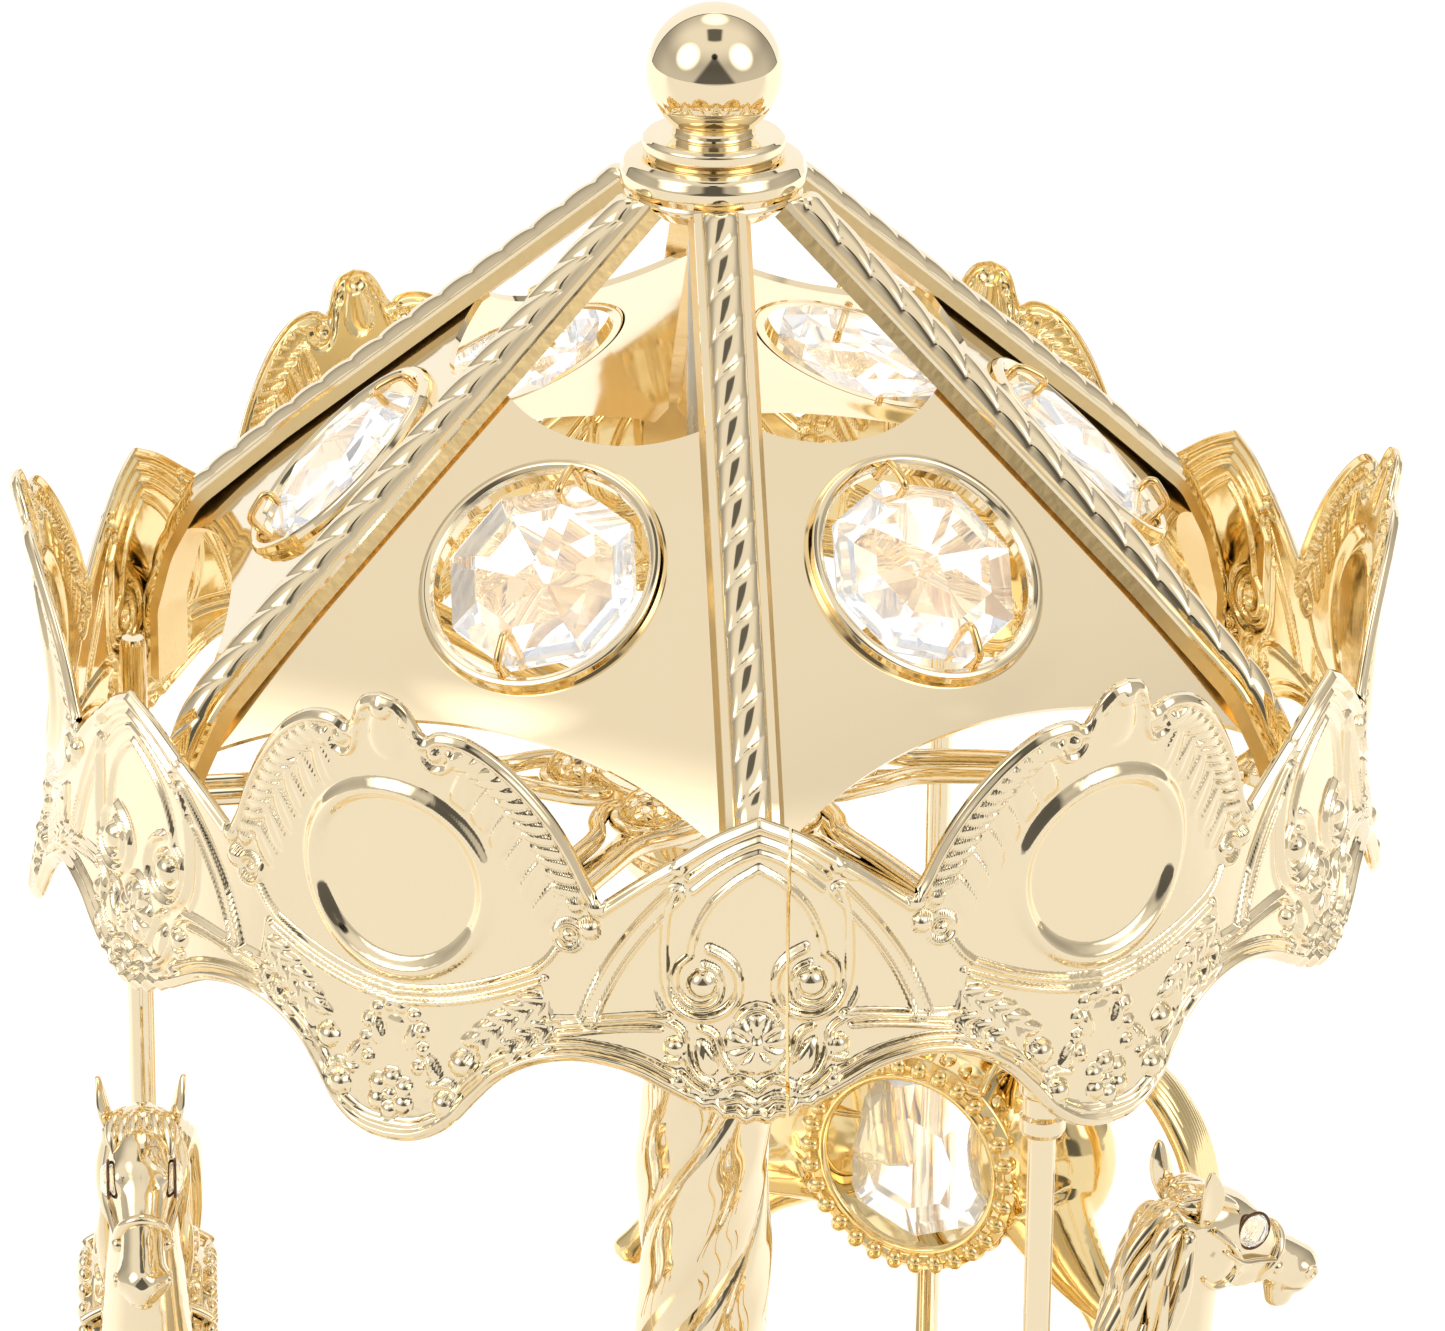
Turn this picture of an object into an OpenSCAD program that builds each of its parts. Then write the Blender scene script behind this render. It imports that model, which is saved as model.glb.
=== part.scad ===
// Carousel music box: a gilt carousel on a round base with a wind-up movement.
// Millimetres, +Z up, origin at the bottom centre, one canopy corner towards -Y.

/* [Overall] */
// Height of the finished music box
total_h = 189.4; // [186:1:194]
// Number of canopy sides, ribs and lobe pairs
sides = 6; // [6]
// Number of horses
horse_count = 3; // [3]

/* [Base] */
// Radius of the foot of the base
base_r = 55.5; // [55:0.5:58]
// Radius of the upright wall of the base
wall_r = 50; // [49.5:0.5:50.5]
// Height of the top of the base shell
base_h = 37; // [37]
// Height of the four rubber feet
foot_h = 2; // [1.5:0.5:2]

/* [Carousel] */
// Radius of the turntable
table_r = 52; // [51:0.5:52]
// Thickness of the turntable
table_t = 3.4; // [3:0.2:3.4]
// Radius of the pole circle
pole_ring_r = 47.4; // [46.5:0.1:47.4]
// Radius of a pole
pole_r = 1.1; // [0.9:0.1:1.1]
// Radius of the twisted column over its flutes
column_r = 5.9; // [5.5:0.1:6.2]
// Number of flutes on the column
flutes = 6; // [5:1:8]

/* [Canopy] */
// Width of a rib strap
rib_w = 4.2; // [3.8:0.1:4.4]
// Thickness of the panel sheet
sheet_t = 0.6; // [0.5:0.1:0.6]
// Width of a canopy crystal over its corners
crystal_d = 16.4; // [15:0.2:16.4]
// Outer radius of the rolled rim round a crystal
rim_r = 10.1; // [9.8:0.1:10.3]

/* [Valance] */
// Outer radius at the lowest edge of the valance
valance_low_r = 56.2; // [55.6:0.1:56.4]
// Outer radius at the waist of the valance
valance_waist_r = 54; // [54:0.1:54.4]
// Outer radius at the highest crest of the valance
valance_top_r = 56.6; // [56:0.1:57]
// Thickness of the valance strip
valance_t = 0.7; // [0.6:0.1:0.7]

/* [Movement] */
// Teeth on the spur rim of the spring barrel
barrel_teeth = 60; // [60]
// Teeth of each small pinion
pinion_teeth = 10; // [10]
// Teeth of the idler wheel
wheel_teeth = 40; // [40]
// Teeth on the crown of the spring barrel
crown_teeth = 40; // [40]
// Notes on the comb
notes = 18; // [12:1:18]

/* [Hidden] */
$fn = 64;
eps = 0.01;
step_a = 360 / sides;
front_a = -90;

// Base
foot_r = 4;
foot_ring_r = 50.5;
rim_in_r = 46;
plate_r = 45.7;
plate_z = 11.5;
plate_t = 1.5;
ledge_r = 42.5;
bed_z = plate_z + plate_t;
bed_t = 2;
bed_top = bed_z + bed_t;
deck_t = 2;
band_t = 0.8;
screw_r = 1.2;
plate_screw_ring_r = 43.9;

// Movement
gear_m = 0.4;
arbor_r = 2;
run_gap = 0.05;
pivot_r = 0.75;
barrel_gear_z = bed_top + 2.4;
barrel_gear_t = 2;
barrel_r = 11.2;
barrel_top = 24.6;
crown_r = 9.8;
crown_h = 1.1;
crown_pitch_r = crown_r * pinion_teeth / crown_teeth;
cyl_z = barrel_top + 0.5 * crown_h + crown_pitch_r + 0.15;
cyl_r = 5.6;
cyl_x0 = 13.5;
cyl_x1 = 33.5;
pin_h = 0.5;
bridge_z0 = barrel_top + crown_h + 0.4;
bridge_z1 = cyl_z + 3;
bridge_x1 = 7.6;
post_y = 16.5;
idler_x = -gear_m * (barrel_teeth + pinion_teeth) / 2;
fan_x = idler_x - gear_m * (wheel_teeth + pinion_teeth) / 2;
wheel_z = bed_top + 0.5;
wheel_t = 1.2;
bracket_z = 27;
bracket_t = 2;
bracket_post_y = 11;
fan_r = 5.4;
spring_turns = 5;

// Carousel stack
table_z = base_h + 0.6;
table_top = table_z + table_t;
foot_top = table_top + 6;
capital_z = 114;
spider_z = 121;
spider_t = 3;
hub_r = 9.5;
pole_top = 136;

// Canopy
rib_t = 0.8;
rope_w = 3;
rope_h = 0.6;
rib_top = [7.6, 174.4];
rib_knee = [39.2, 147.9];
rib_tail = [[48, 140], [51, 134.6], [52.6, 129], [52.6, 122.5]];
mid_k = cos(step_a / 2);
slope_a = atan2(rib_top[1] - rib_knee[1], (rib_knee[0] - rib_top[0]) * mid_k);
hole_s = 33.2;
hole_r = rim_r - 1.3;
scoop_r = 14.7;
scoop_s = 21.2;
arch_r = 45;
arch_s = 46.4;
collar_z = 173.8;
collar_h = 3.2;
collar_r = 7.4;
disc_h = 1.9;
disc_r = 5.7;
ball_r = 5.5;
ball_z = total_h - ball_r;

// Valance edge heights
notch_hi = 135;
notch_lo = 121;
arch_hi = 142.2;
arch_lo = 117.4;
oval_hi = 150;
oval_lo = 113.4;
waist_z = 132;
arch_half_a = 12.5;
seam_x = 2.2;
seam_w = 0.3;

// Horse, looking along +X from its pole
horse_z = 70;
horse_drop = 1.8;
horse_ring_r = 9.75;
horse_glass_r = 7.4;
horse_half = 5.5;

function horse_a(i) = front_a + step_a / 2 + (i - 1) * 360 / horse_count;
function polar(r, a) = [r * cos(a), r * sin(a)];
function arc(cx, cy, r, a0, a1, n) =
    [for (i = [0:n]) [cx + r * cos(a0 + (a1 - a0) * i / n), cy + r * sin(a0 + (a1 - a0) * i / n)]];
function mirrored(pts) = concat(pts, [for (i = [len(pts) - 1:-1:0]) [-pts[i][0], pts[i][1]]]);

module ring(r_out, r_in, z, h) {
    translate([0, 0, z])
        difference() {
            cylinder(r = r_out, h = h);
            translate([0, 0, -eps]) cylinder(r = r_in, h = h + 2 * eps);
        }
}

module round_band(points) {
    rotate_extrude($fn = 96) polygon(points);
}

// Straight-sided spur gear, tooth tips centred on multiples of the pitch angle
module gear_2d(teeth, phase = 0) {
    pr = gear_m * teeth / 2;
    root = pr - 0.55 * gear_m;
    tip = pr + 0.45 * gear_m;
    pitch_a = 360 / teeth;
    union() {
        circle(r = root, $fn = 48);
        for (i = [0:teeth - 1])
            rotate(i * pitch_a + phase)
                polygon([
                    polar(root - 0.1, -pitch_a * 0.22), polar(root, -pitch_a * 0.22),
                    polar(tip, -pitch_a * 0.1), polar(tip, pitch_a * 0.1),
                    polar(root, pitch_a * 0.22), polar(root - 0.1, pitch_a * 0.22)
                ]);
    }
}

module gear(teeth, z, h, phase = 0) {
    translate([0, 0, z]) linear_extrude(h) gear_2d(teeth, phase);
}

// ---------- base ----------

module base_shell() {
    color("#e8cf8c")
        round_band([
            [rim_in_r, foot_h], [base_r, foot_h], [base_r, foot_h + 3], [base_r - 1, foot_h + 4.5],
            [base_r - 3.4, foot_h + 6.4], [wall_r + 0.8, foot_h + 9], [wall_r, foot_h + 11.5],
            [wall_r, base_h - 7], [wall_r + 1, base_h - 5], [wall_r + 3, base_h - 3.4],
            [wall_r + 4, base_h - 2], [wall_r + 4, base_h], [4.2, base_h], [4.2, base_h - deck_t],
            [wall_r - 2, base_h - deck_t], [wall_r - 2, bed_z + 2], [ledge_r, bed_z + 2],
            [ledge_r, bed_z], [rim_in_r, bed_z]
        ]);
}

module base_band() {
    color("#f0dca0") ring(wall_r + band_t, wall_r, foot_h + 12.5, 14);
}

module bottom_plate() {
    color("#c9b27a")
        difference() {
            translate([0, 0, plate_z]) cylinder(r = plate_r, h = plate_t);
            translate([0, 0, plate_z - 1]) cylinder(r = 3.2, h = plate_t + 2);
            for (i = [0:2])
                rotate(90 + 120 * i) translate([plate_screw_ring_r, 0, plate_z - 1])
                    cylinder(r = screw_r, h = plate_t + 2, $fn = 24);
            for (p = bed_screws())
                translate([p[0], p[1], plate_z - 1]) cylinder(r = screw_r, h = plate_t + 2, $fn = 24);
        }
}

module base_feet() {
    color("#3a3a3a")
        for (i = [0:3])
            rotate(45 + 90 * i) translate([foot_ring_r, 0, 0])
                rotate_extrude($fn = 32)
                    polygon([[0, 0], [foot_r - 0.6, 0], [foot_r, 0.6], [foot_r, foot_h], [0, foot_h]]);
}

module screw(r, len, head_r, head_h) {
    translate([0, 0, -head_h])
        difference() {
            cylinder(r = head_r, h = head_h, $fn = 32);
            translate([-head_r, -0.25, -eps]) cube([2 * head_r, 0.5, 0.5]);
        }
    cylinder(r = r, h = len, $fn = 24);
}

module plate_screws() {
    color("#d8d8d8")
        for (i = [0:2])
            rotate(90 + 120 * i) translate([plate_screw_ring_r, 0, plate_z])
                screw(screw_r, plate_t, 2, 1);
}

// ---------- movement ----------

function bed_screws() = [[-30, -12], [-30, 12], [26, -26], [26, 12]];

module bedplate() {
    color("#9c9c98")
        difference() {
            union() {
                translate([0, 0, bed_z]) linear_extrude(bed_t)
                    intersection() {
                        circle(r = 41, $fn = 96);
                        translate([-34, -31]) square([72, 50]);
                    }
                translate([cyl_x0 - 1, -27, bed_top]) cube([22, 10, cyl_z - 0.5 - bed_top]);
                translate([cyl_x1 + 1, -4, bed_top]) cube([2.4, 8, cyl_z + 2.5 - bed_top]);
            }
            translate([0, 0, bed_z - 1]) cylinder(r = arbor_r + run_gap, h = bed_t + 2);
            translate([idler_x, 0, bed_z - 1]) cylinder(r = pivot_r + run_gap, h = bed_t + 2, $fn = 32);
            translate([fan_x, 0, bed_z - 1]) cylinder(r = pivot_r + run_gap, h = bed_t + 2, $fn = 32);
            translate([cyl_x1, 0, cyl_z]) rotate([0, 90, 0])
                cylinder(r = pivot_r + run_gap, h = 6, $fn = 32);
            for (p = bed_screws())
                translate([p[0], p[1], bed_z - 1]) cylinder(r = screw_r, h = bed_t + 2, $fn = 24);
            for (x = comb_screw_x())
                translate([x, -22.5, bed_top + 1]) cylinder(r = screw_r, h = 20, $fn = 24);
        }
}

function comb_screw_x() = [cyl_x0 + 4, cyl_x0 + 10, cyl_x0 + 16];

module comb() {
    tooth = 1.05;
    comb_x = cyl_x0 + 0.6;
    color("#c4c8cc")
        translate([0, 0, cyl_z - 0.5])
            difference() {
                linear_extrude(0.9)
                    union() {
                        translate([comb_x, -27]) square([notes * tooth, 11]);
                        for (i = [0:notes - 1])
                            translate([comb_x + i * tooth + 0.15, -16.1])
                                square([tooth - 0.3, 16.1 - cyl_r - pin_h - 0.35]);
                    }
                for (x = comb_screw_x())
                    translate([x, -22.5, -1]) cylinder(r = screw_r, h = 3, $fn = 24);
            }
}

module movement_screws() {
    color("#d8d8d8") {
        for (p = bed_screws())
            translate([p[0], p[1], plate_z]) screw(screw_r, plate_t + bed_t, 2.1, 1.1);
        for (x = comb_screw_x())
            translate([x, -22.5, cyl_z + 0.4]) rotate([180, 0, 0]) screw(screw_r, 5, 1.9, 1);
        for (s = [-1, 1])
            translate([0, s * post_y, bridge_z1]) rotate([180, 0, 0]) screw(screw_r, 6, 2, 1);
    }
}

module barrel_bridge() {
    color("#b8b09a")
        difference() {
            union() {
                translate([-4, -post_y - 2.5, bridge_z0])
                    cube([bridge_x1 + 4, 2 * post_y + 5, bridge_z1 - bridge_z0]);
                for (s = [-1, 1])
                    translate([0, s * post_y, bed_top]) cylinder(r = 2.5, h = bridge_z0 - bed_top + 1);
            }
            translate([0, 0, bridge_z0 - 1])
                cylinder(r = arbor_r + run_gap, h = bridge_z1 - bridge_z0 + 2);
            translate([bridge_x1 - 2.4, 0, cyl_z]) rotate([0, 90, 0])
                cylinder(r = pivot_r + run_gap, h = 4, $fn = 32);
            for (s = [-1, 1])
                translate([0, s * post_y, bridge_z1 - 6]) cylinder(r = screw_r, h = 7, $fn = 24);
        }
}

module governor_bracket() {
    color("#b8b09a")
        difference() {
            union() {
                translate([fan_x - 3, -2.5, bracket_z]) cube([idler_x - fan_x + 6, 5, bracket_t]);
                translate([(idler_x + fan_x) / 2 - 2, -bracket_post_y - 2, bracket_z])
                    cube([4, 2 * bracket_post_y + 4, bracket_t]);
                for (s = [-1, 1])
                    translate([(idler_x + fan_x) / 2, s * bracket_post_y, bed_top])
                        cylinder(r = 1.8, h = bracket_z - bed_top + 0.5, $fn = 32);
            }
            for (x = [idler_x, fan_x])
                translate([x, 0, bracket_z - 1])
                    cylinder(r = pivot_r + run_gap, h = bracket_t + 2, $fn = 32);
        }
}

module bearing_bush() {
    color("#c8a050")
        difference() {
            union() {
                translate([0, 0, base_h - deck_t - 1.2]) cylinder(r = 4.2, h = deck_t + 1.2);
                translate([0, 0, base_h - deck_t - 1.2]) cylinder(r = 6, h = 1.2);
            }
            translate([0, 0, base_h - 6]) cylinder(r = arbor_r + run_gap, h = 8);
        }
}

module winding_key() {
    color("#e8cf8c")
        union() {
            translate([0, 0, 7]) cylinder(r = arbor_r, h = barrel_gear_z + 3 - 7);
            translate([0, 0, 5]) cylinder(r = 3, h = 5.5);
            difference() {
                translate([0, 1.1, 0]) rotate([90, 0, 0]) linear_extrude(2.2)
                    union() {
                        translate([-9, 2.4]) square([18, 5.6]);
                        for (s = [-1, 1]) translate([s * 9, 5.2]) circle(r = 2.8, $fn = 48);
                    }
                for (s = [-1, 1])
                    translate([s * 8.6, 2, 5.2]) rotate([90, 0, 0]) cylinder(r = 1.4, h = 4, $fn = 32);
            }
        }
}

module pin_cylinder() {
    color("#e0c060")
        union() {
            translate([cyl_x0, 0, cyl_z]) rotate([0, 90, 0]) cylinder(r = cyl_r, h = cyl_x1 - cyl_x0);
            translate([bridge_x1 - 2, 0, cyl_z]) rotate([0, 90, 0])
                cylinder(r = pivot_r, h = cyl_x1 + 3 - bridge_x1 + 2, $fn = 32);
            // lantern pinion on the crown
            translate([crown_r - 1, 0, cyl_z]) rotate([0, 90, 0])
                linear_extrude(cyl_x0 - crown_r + 1.1) crown_pinion_2d();
            for (i = [0:2 * notes - 1])
                translate([cyl_x0 + 1.2 + (i % notes) * 1.05, 0, cyl_z])
                    rotate([(i * 97) % 360 + 11, 0, 0])
                        translate([0, 0, cyl_r - 0.2]) cylinder(r = 0.2, h = pin_h + 0.2, $fn = 16);
        }
}

// Crown pinion: a tooth gap faces down over a crown tooth
module crown_pinion_2d() {
    root = crown_pitch_r - 0.6;
    tip = crown_pitch_r + 0.35;
    pitch_a = 360 / pinion_teeth;
    union() {
        circle(r = root, $fn = 32);
        for (i = [0:pinion_teeth - 1])
            rotate((i + 0.5) * pitch_a)
                polygon([
                    polar(root - 0.1, -8), polar(root, -8), polar(tip, -3),
                    polar(tip, 3), polar(root, 8), polar(root - 0.1, 8)
                ]);
    }
}

module idler_wheel() {
    // pinion tips sit between the barrel's tips on the line of centres
    color("#e0c060")
        translate([idler_x, 0, 0])
            union() {
                translate([0, 0, bed_z]) cylinder(r = pivot_r, h = bracket_z + 1.5 - bed_z, $fn = 32);
                translate([0, 0, bed_top + 0.2]) cylinder(r = 1.3, h = bracket_z - bed_top - 0.5, $fn = 32);
                gear(wheel_teeth, wheel_z, wheel_t);
                gear(pinion_teeth, barrel_gear_z - 0.3, barrel_gear_t + 0.6, 18);
            }
}

module governor_fan() {
    color("#d8d8d8")
        translate([fan_x, 0, 0])
            union() {
                translate([0, 0, bed_z]) cylinder(r = pivot_r, h = bracket_z + 1.5 - bed_z, $fn = 32);
                translate([0, 0, bed_top + 0.2]) cylinder(r = 1.1, h = bracket_z - bed_top - 0.5, $fn = 32);
                gear(pinion_teeth, wheel_z - 0.2, wheel_t + 0.4, 18);
                translate([-fan_r, -0.3, 19.5]) cube([2 * fan_r, 0.6, 5.5]);
            }
}

module spring_barrel() {
    wall = 0.8;
    color("#d8b860")
        difference() {
            union() {
                gear(barrel_teeth, barrel_gear_z, barrel_gear_t);
                translate([0, 0, barrel_gear_z]) cylinder(r = barrel_r, h = barrel_top - barrel_gear_z);
                for (i = [0:crown_teeth - 1])
                    rotate(i * 360 / crown_teeth)
                        translate([crown_r - 1.3, 0, barrel_top - 0.1])
                            rotate([90, 0, 90]) linear_extrude(2.5)
                                polygon([[-0.38, 0], [0.38, 0], [0.16, crown_h + 0.1], [-0.16, crown_h + 0.1]]);
            }
            translate([0, 0, barrel_gear_z + wall])
                cylinder(r = barrel_r - wall, h = barrel_top - barrel_gear_z - 2 * wall);
            translate([0, 0, barrel_gear_z - 1]) cylinder(r = arbor_r + run_gap, h = 3);
            translate([0, 0, barrel_top - 2]) cylinder(r = arbor_r, h = 3);
        }
}

module mainspring() {
    n = 30 * spring_turns;
    r0 = 5;
    r1 = barrel_r - 1;
    t = 0.25;
    function rr(i) = r0 + (r1 - r0) * i / n;
    color("#8c94a0")
        translate([0, 0, barrel_gear_z + 1.1])
            linear_extrude(barrel_top - barrel_gear_z - 2.2)
                polygon(concat(
                    [for (i = [0:n]) polar(rr(i), 12 * i)],
                    [for (i = [n:-1:0]) polar(rr(i) - t, 12 * i)]));
}

module centre_spindle() {
    color("#c8c8c8")
        translate([0, 0, barrel_top - 0.8]) cylinder(r = arbor_r, h = ball_z - barrel_top + 0.8);
}

// ---------- carousel ----------

module turntable() {
    color("#ecd698")
        difference() {
            round_band([
                [arbor_r, table_z - 0.3], [8, table_z - 0.3], [8, table_z], [table_r - 1, table_z],
                [table_r, table_z + 0.6], [table_r, table_top - 0.6], [table_r - 0.8, table_top],
                [arbor_r, table_top]
            ]);
            for (i = [1:horse_count])
                rotate(horse_a(i)) translate([pole_ring_r, 0, table_z + 1])
                    cylinder(r = pole_r, h = table_t);
        }
}

module turntable_trim() {
    color("#f0dca0") ring(table_r + 0.8, table_r, table_z + 0.7, table_t - 1.4);
}

module column_foot() {
    color("#ecd698")
        round_band([
            [arbor_r, table_top], [10.5, table_top], [10.5, table_top + 1.2], [9, table_top + 2],
            [8.4, table_top + 3.4], [7, table_top + 4.2], [7, table_top + 5.2], [6.2, foot_top],
            [arbor_r, foot_top]
        ]);
}

module column() {
    turns = 1.35;
    color("#e8cf8c")
        difference() {
            translate([0, 0, foot_top])
                linear_extrude(capital_z - foot_top, twist = -360 * turns, slices = 30)
                    polygon([for (a = [0:12:348])
                        polar(column_r - 0.45 + 0.45 * cos(flutes * a), a)]);
            translate([0, 0, foot_top - 1]) cylinder(r = arbor_r + 0.1, h = 100, $fn = 24);
        }
}

module column_capital() {
    color("#ecd698")
        round_band([
            [arbor_r, capital_z], [6.2, capital_z], [7, capital_z + 1], [7, capital_z + 2],
            [6.4, capital_z + 2.6], [7.6, capital_z + 4.4], [8.4, spider_z - 1.4], [8.4, spider_z],
            [arbor_r, spider_z]
        ]);
}

module spider() {
    rod_w = 1.3;
    rod_gap = 1.5;
    color("#e8c878")
        difference() {
            union() {
                translate([0, 0, spider_z]) cylinder(r = hub_r, h = spider_t);
                translate([0, 0, spider_z + spider_t - eps]) cylinder(r = 6.5, h = 2.5);
                for (i = [0:sides - 1])
                    rotate(front_a + step_a * (i + 0.5)) {
                        for (s = [-1, 1])
                            translate([hub_r - 1, s * rod_gap - rod_w / 2, spider_z + 0.5])
                                cube([pole_ring_r - hub_r - 1, rod_w, 1.6]);
                        translate([pole_ring_r, 0, spider_z + 0.2]) cylinder(r = 3.2, h = 2.2);
                        translate([pole_ring_r, -1.5, spider_z + 0.5])
                            cube([valance_r(spider_z + 2.1) - valance_t - pole_ring_r - 0.1, 3, 1.6]);
                        translate([21, 0, spider_z + 0.3]) ring(5.4, 3.9, 0, 2);
                    }
            }
            translate([0, 0, spider_z - 1]) cylinder(r = arbor_r, h = 10);
            for (i = [0:sides - 1])
                rotate(front_a + step_a * (i + 0.5)) translate([pole_ring_r, 0, spider_z - 1])
                    cylinder(r = pole_r, h = 5);
        }
}

module pole(i) {
    color("#ecd698")
        rotate(horse_a(i)) translate([pole_ring_r, 0, table_z + 1])
            cylinder(r = pole_r, h = pole_top - table_z - 1);
}

module pole_ferrules() {
    color("#ecd698")
        for (i = [1:horse_count])
            rotate(horse_a(i)) translate([pole_ring_r, 0, 0])
                rotate_extrude($fn = 48)
                    polygon([
                        [pole_r, 109], [1.6, 109], [1.9, 109.6], [1.9, spider_z + 0.2],
                        [pole_r, spider_z + 0.2]
                    ]);
}

// ---------- horses ----------

module place_horse(i) {
    rotate(horse_a(i)) translate([pole_ring_r, 0, -horse_drop]) rotate(90) children();
}

// Side outline in the X-Z plane, thickened to both sides of the horse's middle
module slab(points, y0, y1) {
    translate([0, y1, 0]) rotate([90, 0, 0]) linear_extrude(y1 - y0) polygon(points);
}

module horse(i) {
    neck = [[14, 66], [18, 73], [18.5, 80], [19, 88], [21, 93], [14, 102], [9, 97], [4, 86], [2, 79]];
    head = [[17, 92.5], [21, 93], [24.5, 89.5], [27, 90.5], [27.2, 93], [21, 101], [16, 102.5], [13, 98]];
    ears = [[14.4, 101.4], [16.6, 101.6], [17, 104.6], [14.8, 106.6]];
    chest = [[6, 77], [15, 76], [17.5, 70], [14, 63], [6, 62]];
    rump = [[-6, 77.5], [-13, 79], [-17, 74], [-17, 68], [-12, 62], [-6, 62]];
    tail = [[-14, 78], [-19, 83], [-25, 81], [-29, 72.5], [-29.5, 62], [-26.5, 63], [-25.3, 71], [-22, 77],
        [-17, 76]];
    fore_a = [[12, 64], [16, 68], [26, 62.5], [30.5, 54], [27.5, 52.5], [23.5, 59]];
    fore_b = [[10, 63], [14, 64.5], [21, 57], [20.5, 48], [17.5, 47.4], [17, 55]];
    hind_a = [[-16.5, 70], [-10, 63], [-21, 55], [-27.5, 46.5], [-30, 48.5], [-24, 58]];
    hind_b = [[-13, 66], [-7, 62.5], [-12.5, 55], [-19, 45.6], [-21.5, 47.6], [-16.5, 57]];
    color("#e8cf8c")
        place_horse(i)
            difference() {
                union() {
                    translate([0, horse_half, horse_z]) rotate([90, 0, 0])
                        cylinder(r = horse_ring_r, h = 2 * horse_half);
                    slab(chest, -5, 5);
                    slab(rump, -5, 5);
                    slab(neck, -3.4, 3.4);
                    slab(head, -2.8, 2.8);
                    slab(ears, -2.6, -1);
                    slab(ears, 1, 2.6);
                    slab(tail, 0, 3.2);
                    slab(fore_a, 1, 4.2);
                    slab(fore_b, -4.2, -1);
                    slab(hind_a, 1, 4.4);
                    slab(hind_b, -4.4, -1);
                    translate([0, 0, horse_z + 8]) cylinder(r = 4.4, h = 4.4);
                }
                translate([0, horse_half + 1, horse_z]) rotate([90, 0, 0])
                    cylinder(r = horse_glass_r + 0.1, h = 2 * horse_half + 2);
                cylinder(r = pole_r, h = 200);
                for (s = [-1, 1])
                    translate([19.6, s * 1.9, 98]) rotate([90 * s, 0, 0])
                        translate([0, 0, -2.2]) cylinder(r = 1.3, h = 1.3, $fn = 32);
            }
}

module horse_crystals(i) {
    inner = pole_r + 0.2;
    color("#eef4ff")
        place_horse(i)
            for (s = [-1, 1])
                rotate([s * 90, 0, 0])
                    translate([0, s * horse_z, 0])
                        union() {
                            translate([0, 0, inner]) cylinder(r = horse_glass_r, h = 2.2, $fn = 8);
                            translate([0, 0, inner + 2.2 - eps])
                                cylinder(r1 = horse_glass_r, r2 = 4.4, h = 1.6, $fn = 8);
                        }
}

module horse_eyes() {
    color("#eef4ff")
        for (i = [1:horse_count])
            place_horse(i)
                for (s = [-1, 1])
                    translate([19.6, s * 2.8, 98]) rotate([-90 * s, 0, 0])
                        cylinder(r = 1.3, h = 0.5, $fn = 32);
}

// ---------- canopy ----------

// Outer line of a rib in its radial plane, and the same line moved inwards
function rib_line(k, inset) = [for (p = concat([rib_top, rib_knee], rib_tail))
    [p[0] * k - inset * 0.62, p[1] - inset * 0.72]];

function back_to_front(a, b) = concat(a, [for (i = [len(b) - 1:-1:0]) b[i]]);

module rib(i) {
    color("#f0dca0")
        rotate(front_a + step_a * (i - 1)) {
            rotate([90, 0, 0]) translate([0, 0, -rib_w / 2])
                linear_extrude(rib_w)
                    polygon(back_to_front(rib_line(1, 0), rib_line(1, rib_t)));
            rotate([90, 0, 0]) translate([0, 0, -rope_w / 2])
                linear_extrude(rope_w)
                    polygon(back_to_front(rib_line(1, -rope_h), rib_line(1, 0.1)));
        }
}

// Puts children on the flat of panel i: X down the slope, Y along the panel, Z outwards
module on_panel(i) {
    rotate(front_a + step_a * (i - 0.5))
        translate([rib_top[0] * mid_k, 0, rib_top[1]])
            rotate([0, slope_a, 0])
                translate([hole_s, 0, -1.5])
                    children();
}

module panel(i) {
    edge = 1.1;
    color("#f4e6b4")
        difference() {
            union() {
                intersection() {
                    rotate(front_a + step_a * (i - 0.5))
                        rotate([90, 0, 0]) translate([0, 0, -40])
                            linear_extrude(80)
                                polygon(back_to_front(rib_line(mid_k, 1.5), rib_line(mid_k, 1.5 + sheet_t)));
                    translate([0, 0, 115]) linear_extrude(70)
                        rotate(front_a + step_a * (i - 0.5))
                            polygon([
                                [0, 0], polar(70, -step_a / 2), polar(70, step_a / 2)
                            ] + [for (j = [0:2]) [edge / sin(step_a / 2), 0]]);
                }
                on_panel(i) translate([0, 0, -sheet_t / 2 - 0.15])
                    rotate_extrude() translate([rim_r - 0.8, 0]) circle(r = 0.75, $fn = 24);
            }
            on_panel(i) translate([0, 0, -4]) cylinder(r = hole_r, h = 8);
            on_panel(i) translate([scoop_s - scoop_r - hole_s, 0, -8]) cylinder(r = scoop_r, h = 16);
            on_panel(i) translate([arch_s + arch_r - hole_s, 0, -30]) cylinder(r = arch_r, h = 60);
        }
}

// Octagonal drop cut from four crossed bars, drilled for its hooks
module crystal(i) {
    w = crystal_d / 2 * cos(22.5);
    color("#f2f6ff")
        on_panel(i)
            difference() {
                intersection_for(a = [0, 45, 90, 135])
                    rotate(a) rotate([90, 0, 0]) translate([0, 0, -w - 1])
                        linear_extrude(2 * w + 2)
                            polygon([
                                [-w, -0.6], [-w * 0.45, -3], [w * 0.45, -3], [w, -0.6],
                                [w, 0.6], [w * 0.45, 3], [-w * 0.45, 3], [-w, 0.6]
                            ]);
                for (s = [-1, 1])
                    translate([s * 6.1, 0, -4]) cylinder(r = 0.65, h = 8, $fn = 24);
            }
}

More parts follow.
